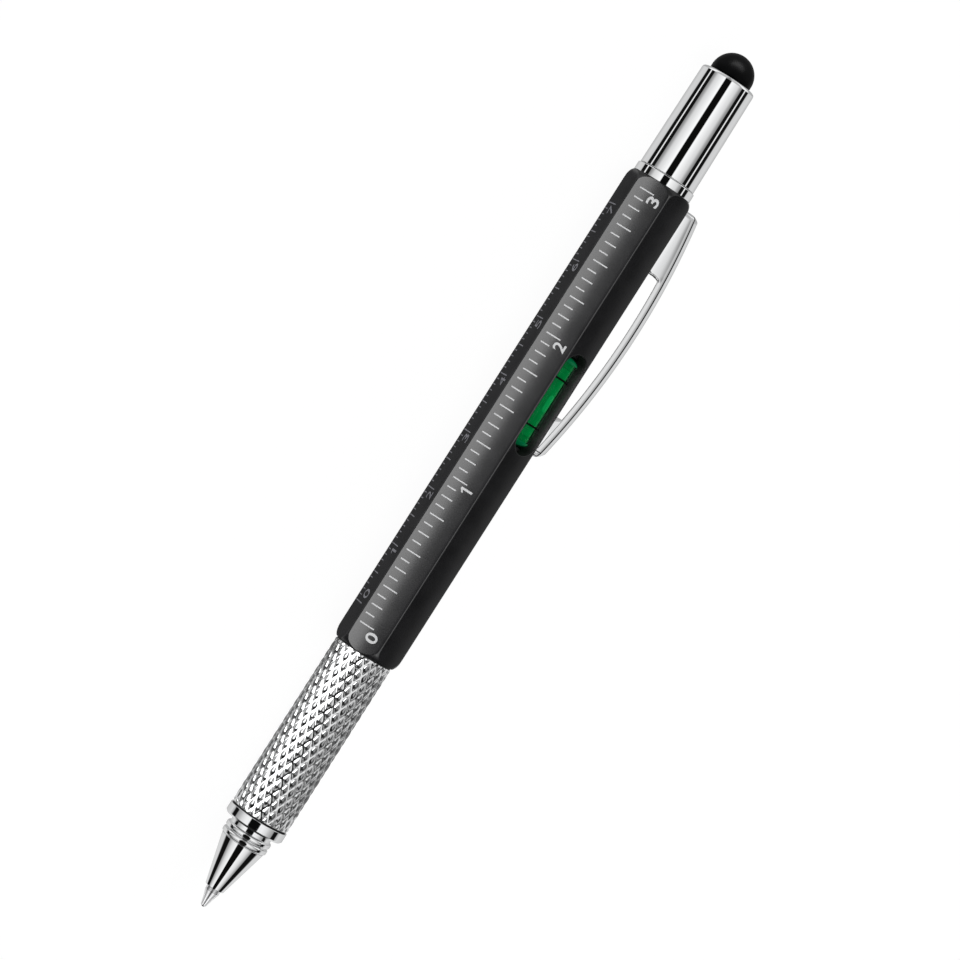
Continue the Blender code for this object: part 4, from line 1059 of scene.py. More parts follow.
    def slot_patch(self, skin: np.ndarray, bore: np.ndarray, rows: slice,
                   columns: np.ndarray) -> np.ndarray:
        """The surface that runs from the flat down into the slot and out on to the bore.

        The hole's rim in the skin is drawn in, along lines square to the slot's outline, to a bar
        with round ends: a point goes to the nearest place of the middle line plus the half width
        along the direction to the point. The rim rounds over by a quarter circle, falls straight
        to the bore and spreads out again to the hole in the bore's own grid.

        Args:
            skin: the outer grid of (station, angle) pairs.
            bore: the bore's grid of the same pairs.
            rows: the rows of the hole.
            columns: the columns of the hole, in order across the flat.

        Returns:
            The patch's grid, its columns running round the hole.
        """
        def ring(pairs: np.ndarray) -> np.ndarray:
            """The pairs once round the hole's rim."""
            box = pairs[rows][:, columns]
            return np.concatenate([box[:-1, 0], box[-1, :-1], box[:0:-1, -1], box[0, :0:-1]])

        outer, inner = ring(skin), ring(bore)
        half_straight = self.slot_length / 2 - self.slot_half
        across = self.section(outer[:, 1]) * np.sin(outer[:, 1])
        along = outer[:, 0] - self.slot_middle
        spine = np.clip(along, -half_straight, half_straight)
        way = np.stack([along - spine, across], axis=1)
        way /= np.hypot(way[:, 0], way[:, 1])[:, None]

        def outline(half: float) -> tuple[np.ndarray, np.ndarray]:
            """Stations and distances across of the bar's outline for a half width."""
            return self.slot_middle + spine + way[:, 0] * half, way[:, 1] * half

        grid = []
        rim_station, rim_across = outline(self.slot_half + self.slot_edge)
        rim_angle = np.interp(rim_across, *self.table)
        for share in (0.0, 0.25, 0.5, 0.75, 0.9, 1.0):
            station = outer[:, 0] + (rim_station - outer[:, 0]) * share
            angle = outer[:, 1] + (rim_angle - outer[:, 1]) * share
            grid.append(polar(station, self.section(angle), angle))
        top = self.section(rim_angle) * np.cos(rim_angle)
        for turn in np.linspace(0.0, math.pi / 2, 6)[1:]:
            station, side = outline(self.slot_half + self.slot_edge * (1.0 - math.sin(turn)))
            grid.append(stack(station, side, top - self.slot_edge * (1.0 - math.cos(turn))))
        station, side = outline(self.slot_half)
        floor = np.sqrt(self.bore**2 - side**2)
        brink = top - self.slot_edge
        for share in (0.05, 0.5, 1.0):
            grid.append(stack(station, side, brink * (1.0 - share) + floor * share))
        floor_angle = np.arcsin(side / self.bore)
        for share in (0.3, 0.65, 1.0):
            place = station + (inner[:, 0] - station) * share
            angle = floor_angle + (inner[:, 1] - floor_angle) * share
            grid.append(polar(place, np.full_like(place, self.bore), angle))
        return np.stack(grid)

    def end_face(self, end: float, way: int, angle: np.ndarray) -> np.ndarray:
        """An end's face, from the bore's chamfer out to a quarter circle at the skin."""
        rim = smooth_least(self.section(angle), np.full_like(angle, self.end_radius), self.mitre)
        turns = np.linspace(math.pi / 2, 0.0, 4)[:-1, None]
        station = end - way * self.end_fillet * (1.0 - np.sin(turns)) + 0 * rim
        radius = rim - self.end_fillet + self.end_fillet * np.cos(turns)
        brim = np.full_like(rim, self.bore + self.bore_chamfer)
        return polar(np.vstack([np.full_like(rim, end), station]), np.vstack([brim, radius]), angle)

    def build(self) -> None:
        """Gathers skin, end faces, bore and slot into one closed shell."""
        angle = self.angles()
        station, radius = self.skin(angle)
        pairs = np.stack([station, np.broadcast_to(angle, station.shape)], axis=-1)
        count = len(angle)
        half = int(np.argmin(np.abs(angle - HALF_FLAT)))
        columns = np.arange(-half + self.flat_steps, half + 1)
        off = np.abs(station[:, :1] - np.array(self.slot_range())).min(axis=1)
        held = np.flatnonzero(off < 1e-6)
        rows = slice(held[0], held[-1] + 1)
        keep = np.ones(station.shape, dtype=bool)
        keep[held[0]:held[-1], columns[:-1] % count] = False
        bore_pairs = pairs.copy()
        turn = (angle + math.pi) % math.tau - math.pi
        corner = math.radians(self.corner_spread)
        spread = np.interp(np.abs(turn), [0.0, HALF_FLAT, math.pi], [0.0, corner, math.pi])
        bore_pairs[..., 1] = np.sign(turn) * spread
        pairs[..., 1] = turn
        ends = [self.end_face(self.start, -1, angle), self.end_face(self.end, 1, angle)]
        outer = np.concatenate([ends[0], polar(station, radius, angle), ends[1][::-1]])
        hole = np.pad(keep, ((len(ends[0]), len(ends[1])), (0, 0)), constant_values=True)
        first, last = self.start + self.bore_chamfer, self.end - self.bore_chamfer
        inner_station = np.clip(pairs[..., 0], first, last)
        inner = polar(inner_station, np.full_like(radius, self.bore), bore_pairs[..., 1])
        brim = np.full(count, self.bore + self.bore_chamfer)
        mouth = [polar(np.full(count, end), brim, bore_pairs[0, :, 1])
                 for end in (self.start, self.end)]
        inner = np.concatenate([mouth[0][None], inner, mouth[1][None]])
        inner_keep = np.pad(keep, ((1, 1), (0, 0)), constant_values=True)
        shell = Shell().grid(outer, wrap_columns=True, keep=hole)
        shell.grid(inner, wrap_columns=True, keep=inner_keep)
        for end, row in zip(ends, mouth):
            shell.grid(np.stack([end[0], row]), wrap_columns=True)
        shell.grid(self.slot_patch(pairs, bore_pairs, rows, columns), wrap_columns=True)
        mesh = shell.mesh("barrel_lacquered")
        add_piece("barrel_lacquered", mesh, "barrel", Lacquer(), "hex_barrel")


@dataclass(frozen=True)
class Marking:
    """How a rule is marked: its flat, its marks and its numerals.

    Each pair in longer gives a length to the marks whose number divides by its first value. The
    shifts move the numerals along the pen from their marks, the 0 by the first one.
    """

    face: Face
    first: float
    step: float
    count: int
    numbered: int
    longer: tuple[tuple[int, float], ...]
    shortest: float
    numeral_gap: float
    first_shift: float
    shift: float

    def lengths(self) -> np.ndarray:
        """Each mark's length, which is one of the longer ones where its number divides evenly."""
        count = np.arange(self.count + 1)
        even = [count % every == 0 for every, _ in self.longer]
        return np.select(even, [length for _, length in self.longer], self.shortest)

    def numbers(self) -> list[tuple[str, float]]:
        """Each numeral with its middle's station, shifted a little from its mark's."""
        return [(str(i), self.first + i * self.numbered * self.step
                 + (self.first_shift if i == 0 else self.shift))
                for i in range(self.count // self.numbered + 1)]


class Scale(Enum):
    """The two rules and how each is marked."""

    INCHES = Marking(Face.INCH, 48.9, INCH / 16, 3 * 16, 16, ((4, 2.45), (2, 1.9)), 1.5,
                     numeral_gap=1.9, first_shift=-1.22, shift=-0.93)
    CENTIMETRES = Marking(Face.METRIC, 51.1, 1.0, 70, 10, ((10, 3.2), (5, 2.3)), 1.1,
                          numeral_gap=1.82, first_shift=1.6, shift=-1.05)


@dataclass
class PrintedRule:
    """One printed rule: marks from the flat's edge inwards, with numerals past the long ones."""

    scale: Scale
    barrel: HexBarrel
    ink: Print
    bold: float = 0.018
    skew: float = 0.0
    mark_width: float = 0.19
    film: float = 0.012
    margin: float = 0.62
    numeral_height: float = 1.9
    numeral_width: float = 1.35
    widths: tuple[tuple[str, float], ...] = (("0", 1.12), ("1", 0.6), ("2", 0.94))
    one: Pairs = (
        (1.0, 0.0), (1.0, 1.0), (0.62, 1.0), (0.0, 0.8), (0.08, 0.68), (0.58, 0.8), (0.58, 0.0))
    segments: int = 8

    def side(self) -> float:
        """How far across the flat the marks start: a margin in from its edge on that side."""
        return -self.barrel.apothem * math.tan(HALF_FLAT) + self.margin

    def surface(self, station: np.ndarray, across: np.ndarray, lift: np.ndarray) -> np.ndarray:
        """Points on the crowned flat, lifted off it, with the printing's slight slant."""
        marking = self.scale.value
        slanted = across + self.skew * (station - marking.first)
        return marking.face.place(station, slanted, self.barrel.height(slanted) + lift)

    def marks(self) -> Shell:
        """Every mark as a thin closed box that follows the flat's crown.

        A box is a ring of four corners, carried along the mark and closed at both ends by a row
        drawn in to a line. All the boxes are worked out together and added one by one.
        """
        marking = self.scale.value
        stations = marking.first + np.arange(marking.count + 1) * marking.step
        lengths = marking.lengths()
        share = np.concatenate([[0.0], np.linspace(0.0, 1.0, self.segments + 1), [1.0]])
        swell = np.concatenate([[0.0], np.ones(self.segments + 1), [0.0]])
        across = self.side() + lengths[:, None, None] * share[None, :, None]
        width = np.array([-0.5, -0.5, 0.5, 0.5]) * self.mark_width
        lift = np.array([-1.0, 1.0, 1.0, -1.0]) * self.film
        along = stations[:, None, None] + width[None, None, :] * np.ones_like(across)
        height = lift[None, None, :] * swell[None, :, None] * np.ones_like(across)
        boxes = self.surface(along, across + 0 * along, height)
        shell = Shell()
        for box in boxes:
            shell.grid(box, wrap_columns=True)
        return shell

    def outline(self, text: str) -> bpy.types.Curve:
        """A numeral's filled outline: the plain face's, save for the 1, which is given a flag."""
        if text == "1":
            curve = bpy.data.curves.new("numeral", "CURVE")
            curve.dimensions, curve.fill_mode = "2D", "BOTH"
            line = curve.splines.new("POLY")
            line.points.add(len(self.one) - 1)
            flat = [value for x, y in self.one for value in (x, y, 0.0, 1.0)]
            line.points.foreach_set("co", flat)
            line.use_cyclic_u = True
        else:
            curve = bpy.data.curves.new("numeral", "FONT")
            curve.body = text
            curve.offset = self.bold
            curve.resolution_u = 6
        curve.extrude = 1.0
        return curve

    def numeral(self, text: str) -> tuple[np.ndarray, list[list[int]]]:
        """A numeral's flat mesh, centred and scaled to one by one.

        Args:
            text: the numeral.

        Returns:
            Its points, with thickness from -1 to 1, and its faces.
        """
        curve = self.outline(text)
        drawn = link("numeral", curve)
        graph = bpy.context.evaluated_depsgraph_get()
        mesh = bpy.data.meshes.new_from_object(drawn.evaluated_get(graph))
        self.slice(mesh)
        points = vertices(mesh)
        faces = [list(face.vertices) for face in mesh.polygons]
        bpy.data.objects.remove(drawn)
        bpy.data.curves.remove(curve)
        bpy.data.meshes.remove(mesh)
        low, high = points[:, :2].min(axis=0), points[:, :2].max(axis=0)
        points[:, :2] = (points[:, :2] - (low + high) / 2) / (high - low)
        return points, faces

    def slice(self, mesh: bpy.types.Mesh) -> None:
        """Cuts a numeral's mesh across in even steps, so that it can follow the crown."""
        shape = bmesh.new()
        shape.from_mesh(mesh)
        heights = [vert.co.y for vert in shape.verts]
        for level in np.linspace(min(heights), max(heights), self.segments + 1)[1:-1]:
            whole = shape.verts[:] + shape.edges[:] + shape.faces[:]
            bmesh.ops.bisect_plane(shape, geom=whole, dist=1e-6,
                                   plane_co=(0, level, 0), plane_no=(0, 1, 0))
        shape.to_mesh(mesh)
        shape.free()

    def numerals(self) -> bpy.types.Mesh:
        """All the numerals in one mesh, their tops towards the marks' outer ends."""
        points, faces, count = [], [], 0
        width = dict(self.widths)
        middle = self.side() + self.scale.value.numeral_gap + self.numeral_height / 2
        for text, station in self.scale.value.numbers():
            shape, cells = self.numeral(text)
            along = station + shape[:, 0] * self.numeral_width * width.get(text, 1.0)
            across = middle - shape[:, 1] * self.numeral_height
            points.append(self.surface(along, across, shape[:, 2] * self.film))
            faces += [[count + i for i in cell] for cell in cells]
            count += len(shape)
        mesh = bpy.data.meshes.new("numerals")
        mesh.from_pydata(to_world(np.concatenate(points)).tolist(), [], faces)
        mend(mesh)
        return mesh

    def build(self) -> None:
        """Adds the marks and the numerals."""
        name = self.scale.name.lower()
        add_piece(f"marks_{name}", self.marks().mesh(f"marks_{name}"), "barrel", self.ink)
        add_piece(f"numerals_{name}", self.numerals(), "barrel", self.ink)


@dataclass
class SpiritLevel:
    """The level: clear tube and plugs, green spirit, bubble and two marker rings, on its cradle."""

    middle: float = LEVEL_MIDDLE
    lift: float = 2.275
    length: float = 15.6
    radius: float = 2.35
    wall: float = 0.35
    dome: float = 1.1
    shank: float = 0.9
    gap: float = 0.012
    marker_spacing: float = 8.1
    marker_width: float = 0.3
    marker_rise: float = 0.07
    fill_gap: float = 0.07
    bubble_length: float = 3.9
    bubble_radius: float = 1.2
    bubble_lift: float = 0.785
    bubble_power: float = 5.0
    around: int = 96

    def turned(self, name: str, path: np.ndarray, lift: float = 0.0,
               closed: bool = False) -> bpy.types.Mesh:
        """A path turned about the vial's axis, or about one above it."""
        return Shell().turned(path, self.around, self.lift + lift, closed).mesh(name)

    def tube(self) -> bpy.types.Mesh:
        """The clear tube between the plugs."""
        half = self.length / 2 - self.dome
        inner = self.radius - self.wall
        ends = (self.middle - half, self.middle + half)
        path = rounded_path([(ends[0], self.radius, 0.04), (ends[1], self.radius, 0.04),
                             (ends[1], inner, 0.04), (ends[0], inner, 0.04)], closed=True)
        return self.turned("vial_tube_clear", path, closed=True)

    def plug(self, way: int) -> bpy.types.Mesh:
        """An end plug: half an ellipse for its dome, then its shank inside the tube."""
        turn = np.linspace(0.0, math.pi / 2, 16)
        tall = self.dome - self.gap
        seat = self.middle + way * (self.length / 2 - self.dome)
        inner = self.radius - self.wall - self.gap
        stations = seat + way * (self.gap + tall * np.cos(turn))
        dome = np.stack([stations, self.radius * np.sin(turn)], axis=1)
        face, foot = seat + way * self.gap, seat - way * self.shank
        shank = rounded_path([(face, self.radius, 0.0), (face, inner, 0.03),
                              (foot, inner, 0.03), (foot, 0.0, 0.0)], closed=False)
        name = f"vial_plug_{'rear' if way > 0 else 'front'}_clear"
        return self.turned(name, np.vstack([dome, shank[1:]]))

    def liquid(self) -> bpy.types.Mesh:
        """The spirit, ending at the plugs' shanks and a little short of the tube's wall."""
        half = self.length / 2 - self.dome - self.shank - 2 * self.gap
        radius = self.radius - self.wall - self.fill_gap
        path = rounded_path([
            (self.middle - half, 0.0, 0.0), (self.middle - half, radius, 0.03),
            (self.middle + half, radius, 0.03), (self.middle + half, 0.0, 0.0)], closed=False)
        return self.turned("vial_spirit", path)

    def bubble(self) -> bpy.types.Mesh:
        """The bubble, whose top stands over the spirit: radius = r (1 - |along|^p)^(1/p)."""
        along = -np.cos(np.linspace(0.0, math.pi, 41))
        power = self.bubble_power
        share = np.clip(1.0 - np.abs(along) ** power, 0.0, 1.0)
        radius = self.bubble_radius * share ** (1.0 / power)
        path = np.stack([self.middle + along * self.bubble_length / 2, radius], axis=1)
        return self.turned("bubble_air", path, self.bubble_lift)

    def marker(self, way: int) -> bpy.types.Mesh:
        """A marker ring: a thin band round the tube with rounded edges."""
        at = self.middle + way * self.marker_spacing / 2
        half = self.marker_width / 2
        low, high = self.radius + self.gap, self.radius + self.marker_rise
        path = rounded_path([(at - half, low, 0.0), (at - half, high, 0.03),
                             (at + half, high, 0.03), (at + half, low, 0.0)], closed=True, steps=4)
        return self.turned(f"marker_{'rear' if way > 0 else 'front'}", path, closed=True)

    def build(self) -> None:
        """Adds every piece of the level and dresses its cradle."""
        add_piece("vial_tube_clear", self.tube(), "barrel", ClearAcrylic(), "vial_tube")
        add_piece("spirit", self.liquid(), "barrel", GreenSpirit(), "vial_liquid")
        add_piece("bubble_air", self.bubble(), "bubble", AirBubble(), "level_bubble")
        for way, end in ((-1, "front"), (1, "rear")):
            add_piece(f"plug_{end}_clear", self.plug(way), "barrel", GLOWING_PLUG_GREEN,
                      f"vial_plug_{end}")
            add_piece(f"marker_{end}", self.marker(way), "barrel", MARKER_BLACK,
                      f"marker_ring_{end}")
        dress(DARK_PLASTIC, "level_cradle")


@dataclass
class SpringClip:
    """The pressed clip: a channel closed at both ends, a foot at its tip and a lug at its root."""

    top: float = 126.2
    length: float = 43.1
    width: float = 3.2
    wall: float = 0.5
    depth: float = 2.05
    crown_height: float = 9.56
    crown_share: float = 0.457
    arc_radius: float = 110.99
    bends: Pairs = ((4.0, 4.0), (10.0, 0.45), (40.0, 3.2), (72.0, 0.9), (90.0, 0.0))
    # Turns of the section along which a line of shade is painted at the fold.
    fold: tuple[float, float] = (9.0, 34.0)
    walls: tuple[float, ...] = (0.0, 0.06, 0.25, 0.5, 0.75, 0.94)
    bulge: float = 0.105
    bulge_from: float = 0.6
    bulge_fade: float = 1.5
    trim: float = 0.52
    trim_root: float = 0.9
    trim_root_fade: float = 0.8
    trim_tip: float = 1.4
    trim_tip_fade: float = 3.0
    trim_side: float = 0.2
    trim_side_fade: float = 1.1
    root_length: float = 11.2
    seat: float = 4.925
    edge: float = 1.15
    top_edge: float = 0.6
    fillet: float = 0.6
    foot_width: float = 2.9
    foot_length: float = 6.9
    foot_slant: float = 0.7
    foot_tuck: float = 0.5
    foot_fall: float = 1.25
    foot_step: float = 0.7
    foot_bevel: float = 0.9
    foot_setback: float = 0.1
    lug_width: float = 1.0
    lug_length: float = 2.6
    lug_setback: float = 1.6
    lug_reach: float = 3.7
    lug_fall: float = 0.25
    drawn_in: float = 0.08

    def back(self, below: np.ndarray, drop: float = 0.0) -> np.ndarray:
        """Height of the back over the axis: a circle's height over its chord, by Pythagoras.

        Args:
            below: distances below the clip's top end.
            drop: how far under the back the curve lies.

        Returns:
            The heights.
        """
        off = below - self.length * self.crown_share
        return self.crown_height - self.arc_radius + np.sqrt((self.arc_radius - drop) ** 2 - off**2)

    def lower_edge(self) -> tuple[np.ndarray, np.ndarray, np.ndarray]:
        """The flange's lower edge in side view, from the tip to the top.

        It runs a depth under the back along the arm, turns down by a fillet at the root, meets
        the flat and follows it to the top. The third array says where each place's column starts
        at the back, so that the columns fan round the root's corner.
        """
        corner = self.root_length + self.fillet
        arm = np.linspace(self.length, corner, 90)
        arm_height = self.back(arm, self.depth)
        turn = np.linspace(0.0, math.pi / 2, 8)[1:]
        low = arm_height[-1] - self.fillet
        bend = corner - self.fillet * np.sin(turn), low + self.fillet * np.cos(turn)
        drop = np.linspace(low, self.seat, 8)[1:]
        seat = np.linspace(self.root_length, 0.0, 22)[1:]
        below = np.concatenate([arm, bend[0], np.full(7, self.root_length), seat])
        height = np.concatenate([arm_height, bend[1], drop, np.full(21, self.seat)])
        walk = np.concatenate([[0.0], np.cumsum(np.hypot(np.diff(below), np.diff(height)))])
        turned = len(arm), len(arm) + 14
        knots = [0.0, walk[turned[0] - 12], walk[turned[1] + 6], walk[-1]]
        places = [self.length, below[turned[0] - 12], below[turned[1] + 6], 0.0]
        return below, height, np.interp(walk, knots, places)

    def rim(self) -> tuple[np.ndarray, np.ndarray, np.ndarray, np.ndarray]:
        """The outline in plan, once round: along and across of each column, and its lower end.

        The ends are quarter circles of the edge's radius joined by a straight, and the sides carry
        the lower edge's columns.
        """
        below, height, start = self.lower_edge()
        half, edge = self.width / 2, self.edge
        inside = (start > edge) & (start < self.length - edge)
        turn = np.linspace(0.0, math.pi / 2, 9)
        flat = np.linspace(-1.0, 1.0, 7)[1:-1] * (half - edge)
        tip, top = self.length - edge, edge
        near = top - edge * np.sin(turn)
        far = tip + edge * np.sin(turn)
        along = [start[inside], near, np.zeros(5), near[::-1],
                 start[inside][::-1], far, np.full(5, self.length), far[::-1]]
        side = half - edge + edge * np.cos(turn)
        across = [np.full(inside.sum(), half), side, -flat, -side[::-1],
                  np.full(inside.sum(), -half), -side, flat, side[::-1]]
        foot = [below[inside], *along[1:4], below[inside][::-1], *along[5:]]
        tip_height = self.back(np.array([self.length]), self.depth)[0]
        lows = [height[inside], np.full(23, self.seat), height[inside][::-1],
                np.full(23, tip_height)]
        return tuple(np.concatenate(part) for part in (along, across, foot, lows))

    def bend_steps(self) -> tuple[np.ndarray, np.ndarray]:
        """The section's turns in degrees, in steps over each bend, and each step's radius."""
        turns, radii = [], []
        for (start, radius), (end, _) in zip(self.bends, self.bends[1:]):
            steps = 5 if radius > 1.0 else 7
            turns.append(np.linspace(start, end, steps + 1)[:-1])
            radii.append(np.full(steps, radius))
        return np.concatenate([*turns, [self.bends[-1][0]]]), np.concatenate(radii)

    def section(self, inset: float) -> np.ndarray:
        """The side of the sheet's section: how far in from the rim and under the back, going up.

        The section's normal turns from just below square to the side up to the back's own. Over
        each bend of the table it has one radius of curvature, so a step of turn moves the point
        by radius * step along the tangent: inwards by its sine and up by its cosine.

        Args:
            inset: how far inside the outer skin the section lies.

        Returns:
            Rows of (distance in from the rim, fall under the back's middle line).
        """
        turns, radii = self.bend_steps()
        turns = np.radians(turns)
        walk = radii * np.diff(turns)
        middle = 0.5 * (turns[1:] + turns[:-1])
        inwards = np.concatenate([[0.0], np.cumsum(walk * np.sin(middle))])
        inwards = (inwards - inwards[0]) * (self.width / 2) / (inwards[-1] - inwards[0])
        rise = np.concatenate([[0.0], np.cumsum(walk * np.cos(middle))])
        inwards = inwards + inset * np.cos(turns) * (1.0 - inwards / (self.width / 2))
        return np.stack([inwards, rise[-1] - rise + inset * np.sin(turns)], axis=1)

    def skin(self, inset: float) -> np.ndarray:
        """One side of the sheet: rows from its lower edge up and over to the middle line.

        In plan each row is the rim drawn in by a distance: a point keeps its place on the core,
        the rim less the edge's radius, and moves along its direction from the core. Past the
        edge's radius the rows close to the middle line by scaling the core across. Distance and
        fall under the back come from the section. Where the side stands tall, at the root, it
        bulges outwards by a parabola, 4 * share * (1 - share) of the bulge.

        Args:
            inset: 0 for the outer side, the wall's thickness for the inner one.

        Returns:
            The rows' grid in (below, across, height).
        """
        along, across, foot, low = self.rim()
        edge, half = self.edge, self.width / 2
        core_along = np.clip(along, edge, self.length - edge)
        core_across = np.clip(across, -(half - edge), half - edge)
        way = np.stack([along - core_along, across - core_across], axis=1)
        way /= np.hypot(way[:, 0], way[:, 1])[:, None]

        def row(inwards: float, fall: float) -> tuple[np.ndarray, np.ndarray, np.ndarray]:
            """A row a distance in from the rim and a fall under the back."""
            radius = max(edge - inwards, 0.0)
            share = min((half - inwards) / (half - edge), 1.0)
            place = core_along + way[:, 0] * radius
            return place, core_across * share + way[:, 1] * radius, self.back(place) - fall

        section = self.section(inset)
        top = row(*section[0])
        base = foot - way[:, 0] * section[0, 0]
        stand = (top[2] - low - self.bulge_from) / self.bulge_fade
        swell = way[:, 1] * self.bulge * smooth_step(stand)
        rows = [(base + (top[0] - base) * share, top[1] + swell * 4.0 * share * (1.0 - share),
                 low + (top[2] - low) * share) for share in self.walls]
        rows += [row(*pair) for pair in section]
        grid = np.stack([np.stack(part, axis=-1) for part in rows])
        squeeze = self.top_edge / edge
        shift = edge * (1.0 - squeeze)
        near = grid[..., 0] < edge
        grid[..., 0] = np.where(near, edge - (edge - grid[..., 0]) * squeeze, grid[..., 0])
        grid[..., 0] = (grid[..., 0] - shift) * self.length / (self.length - shift)
        return grid

    def trimmed(self, grid: np.ndarray) -> np.ndarray:
        """Cuts back the flange away from the level along the arm, so that it clears the edge.

        Every fall under the back is scaled by 1 - trim * (share across) * (share along), both
        shares smooth steps, so the middle line, the root and the tip keep their shape.
        """
        below, across, height = grid[..., 0], grid[..., 1], grid[..., 2]
        along = np.minimum((below - self.root_length + self.trim_root) / self.trim_root_fade,
                           (self.length - self.trim_tip - below) / self.trim_tip_fade)
        share = smooth_step((across - self.trim_side) / self.trim_side_fade) * smooth_step(along)
        back = self.back(below)
        height = back - (back - height) * (1.0 - self.trim * share)
        return np.stack([below, across, height], axis=-1)

    def sheet(self) -> tuple[np.ndarray, np.ndarray]:
        """Both sides of the sheet joined by a rounded lower edge, and which rows are inside."""
        outer, inner = self.trimmed(self.skin(0.0)), self.trimmed(self.skin(self.wall))
        soft = []
        for share, sink in ((0.15, 0.02), (0.5, 0.0), (0.85, 0.02)):
            row = outer[0] * (1.0 - share) + inner[0] * share
            row[:, 2] += sink
            soft.append(row)
        inside = np.concatenate([np.zeros(len(outer) + 2), np.ones(len(inner) + 1)])
        return np.concatenate([outer[::-1], np.stack(soft), inner]), inside

    def block(self, corners: list[Triple], width: float, soft: float) -> np.ndarray:
        """A side outline given a width, its edges along both sides rounded by a quarter circle.

        Args:
            corners: (below, height, fillet) round the outline.
            width: its width across.
            soft: the radius of the side edges.

        Returns:
            Rows from the middle of one side over to the middle of the other.
        """
        path = rounded_path(corners, closed=True, steps=4)
        middle = path.mean(axis=0)
        rows = []
        for side in (-1, 1):
            part = [(0.0, side * width / 2), (1.0 - self.drawn_in, side * width / 2)]
            for turn in np.linspace(0.0, math.pi / 2, 4):
                shrink = 1.0 - self.drawn_in * (1.0 - math.sin(turn))
                part.append((shrink, side * (width / 2 - soft * (1.0 - math.cos(turn)))))
            rows += part if side < 0 else part[::-1]
        return np.stack([
            stack(*(middle + (path - middle) * size).T, np.full(len(path), across))[:, [0, 2, 1]]
            for size, across in rows])

    def foot(self) -> list[Triple]:
        """The foot's outline from the side: flat where it bears, its top hidden under the back."""
        tip = self.length - self.wall / 2
        top = self.length - self.wall - self.foot_length + self.foot_tuck
        bevel, front = tip - self.foot_bevel, tip - self.foot_setback
        roof = self.back(np.array([bevel, top])) - self.foot_fall
        return [(top, roof[1] - self.foot_step, 0.05),
                (top + self.foot_slant, self.seat, 0.12), (tip - self.foot_slant, self.seat, 0.3),
                (front, self.seat + 0.3, 0.1), (front, roof[0] - 0.2, 0.1),
                (bevel, roof[0], 0.1), (top, roof[1], 0.1)]

    def lug(self) -> list[Triple]:
        """The lug's outline from the side, from under the back down into the barrel's window."""
        low, high = self.lug_setback + self.lug_length, self.lug_setback
        roof = self.back(np.array([low, high])) - self.lug_fall
        return [(low, self.lug_reach, 0.2), (high, self.lug_reach, 0.2),
                (high, roof[1], 0.1), (low, roof[0], 0.1)]

    def placed(self, grid: np.ndarray) -> np.ndarray:
        """Rows of (below, across, height) put on the clip's flat."""
        return Face.CLIP.place(self.top - grid[..., 0], grid[..., 1], grid[..., 2])

    def build(self) -> None:
        """Gathers sheet, foot and lug into the clip."""
        sheet, inside = self.sheet()
        shell = Shell().grid(self.placed(sheet), wrap_columns=True)
        shell.grid(self.placed(self.block(self.foot(), self.foot_width, 0.15)), wrap_columns=True)
        shell.grid(self.placed(self.block(self.lug(), self.lug_width, 0.1)), wrap_columns=True)
        mesh = shell.mesh("clip_pressed")
        self.mark(mesh, "inside", self.placed(sheet)[inside > 0.5].reshape(-1, 3))
        # Marks the fold's vertices, where the clip's chrome gets a painted line of shade.
        self.mark(mesh, "fold", self.placed(self.fold_rows()).reshape(-1, 3))
        add_piece("clip_pressed", mesh, "clip", ClipChrome(), "clip")

    def fold_rows(self) -> np.ndarray:
        """The outer skin's rows whose turn lies in the fold, where the sheet is bent over and shade
        is painted.
        """
        turns, _ = self.bend_steps()
        chosen = (turns >= self.fold[0]) & (turns <= self.fold[1])
        return self.trimmed(self.skin(0.0))[len(self.walls):][chosen]

    def mark(self, mesh: bpy.types.Mesh, name: str, spots: np.ndarray) -> None:
        """Gives each vertex a named value that is 1 where one of the spots lies and 0 elsewhere."""
        tree = KDTree(len(spots))
        for i, spot in enumerate(to_world(spots)):
            tree.insert(spot, i)
        tree.balance()
        near = [tree.find(place)[2] < 0.01 * MM for place in vertices(mesh)]
        near = np.array(near, dtype=np.float32)
        mesh.attributes.new(name, "FLOAT", "POINT").data.foreach_set("value", near)


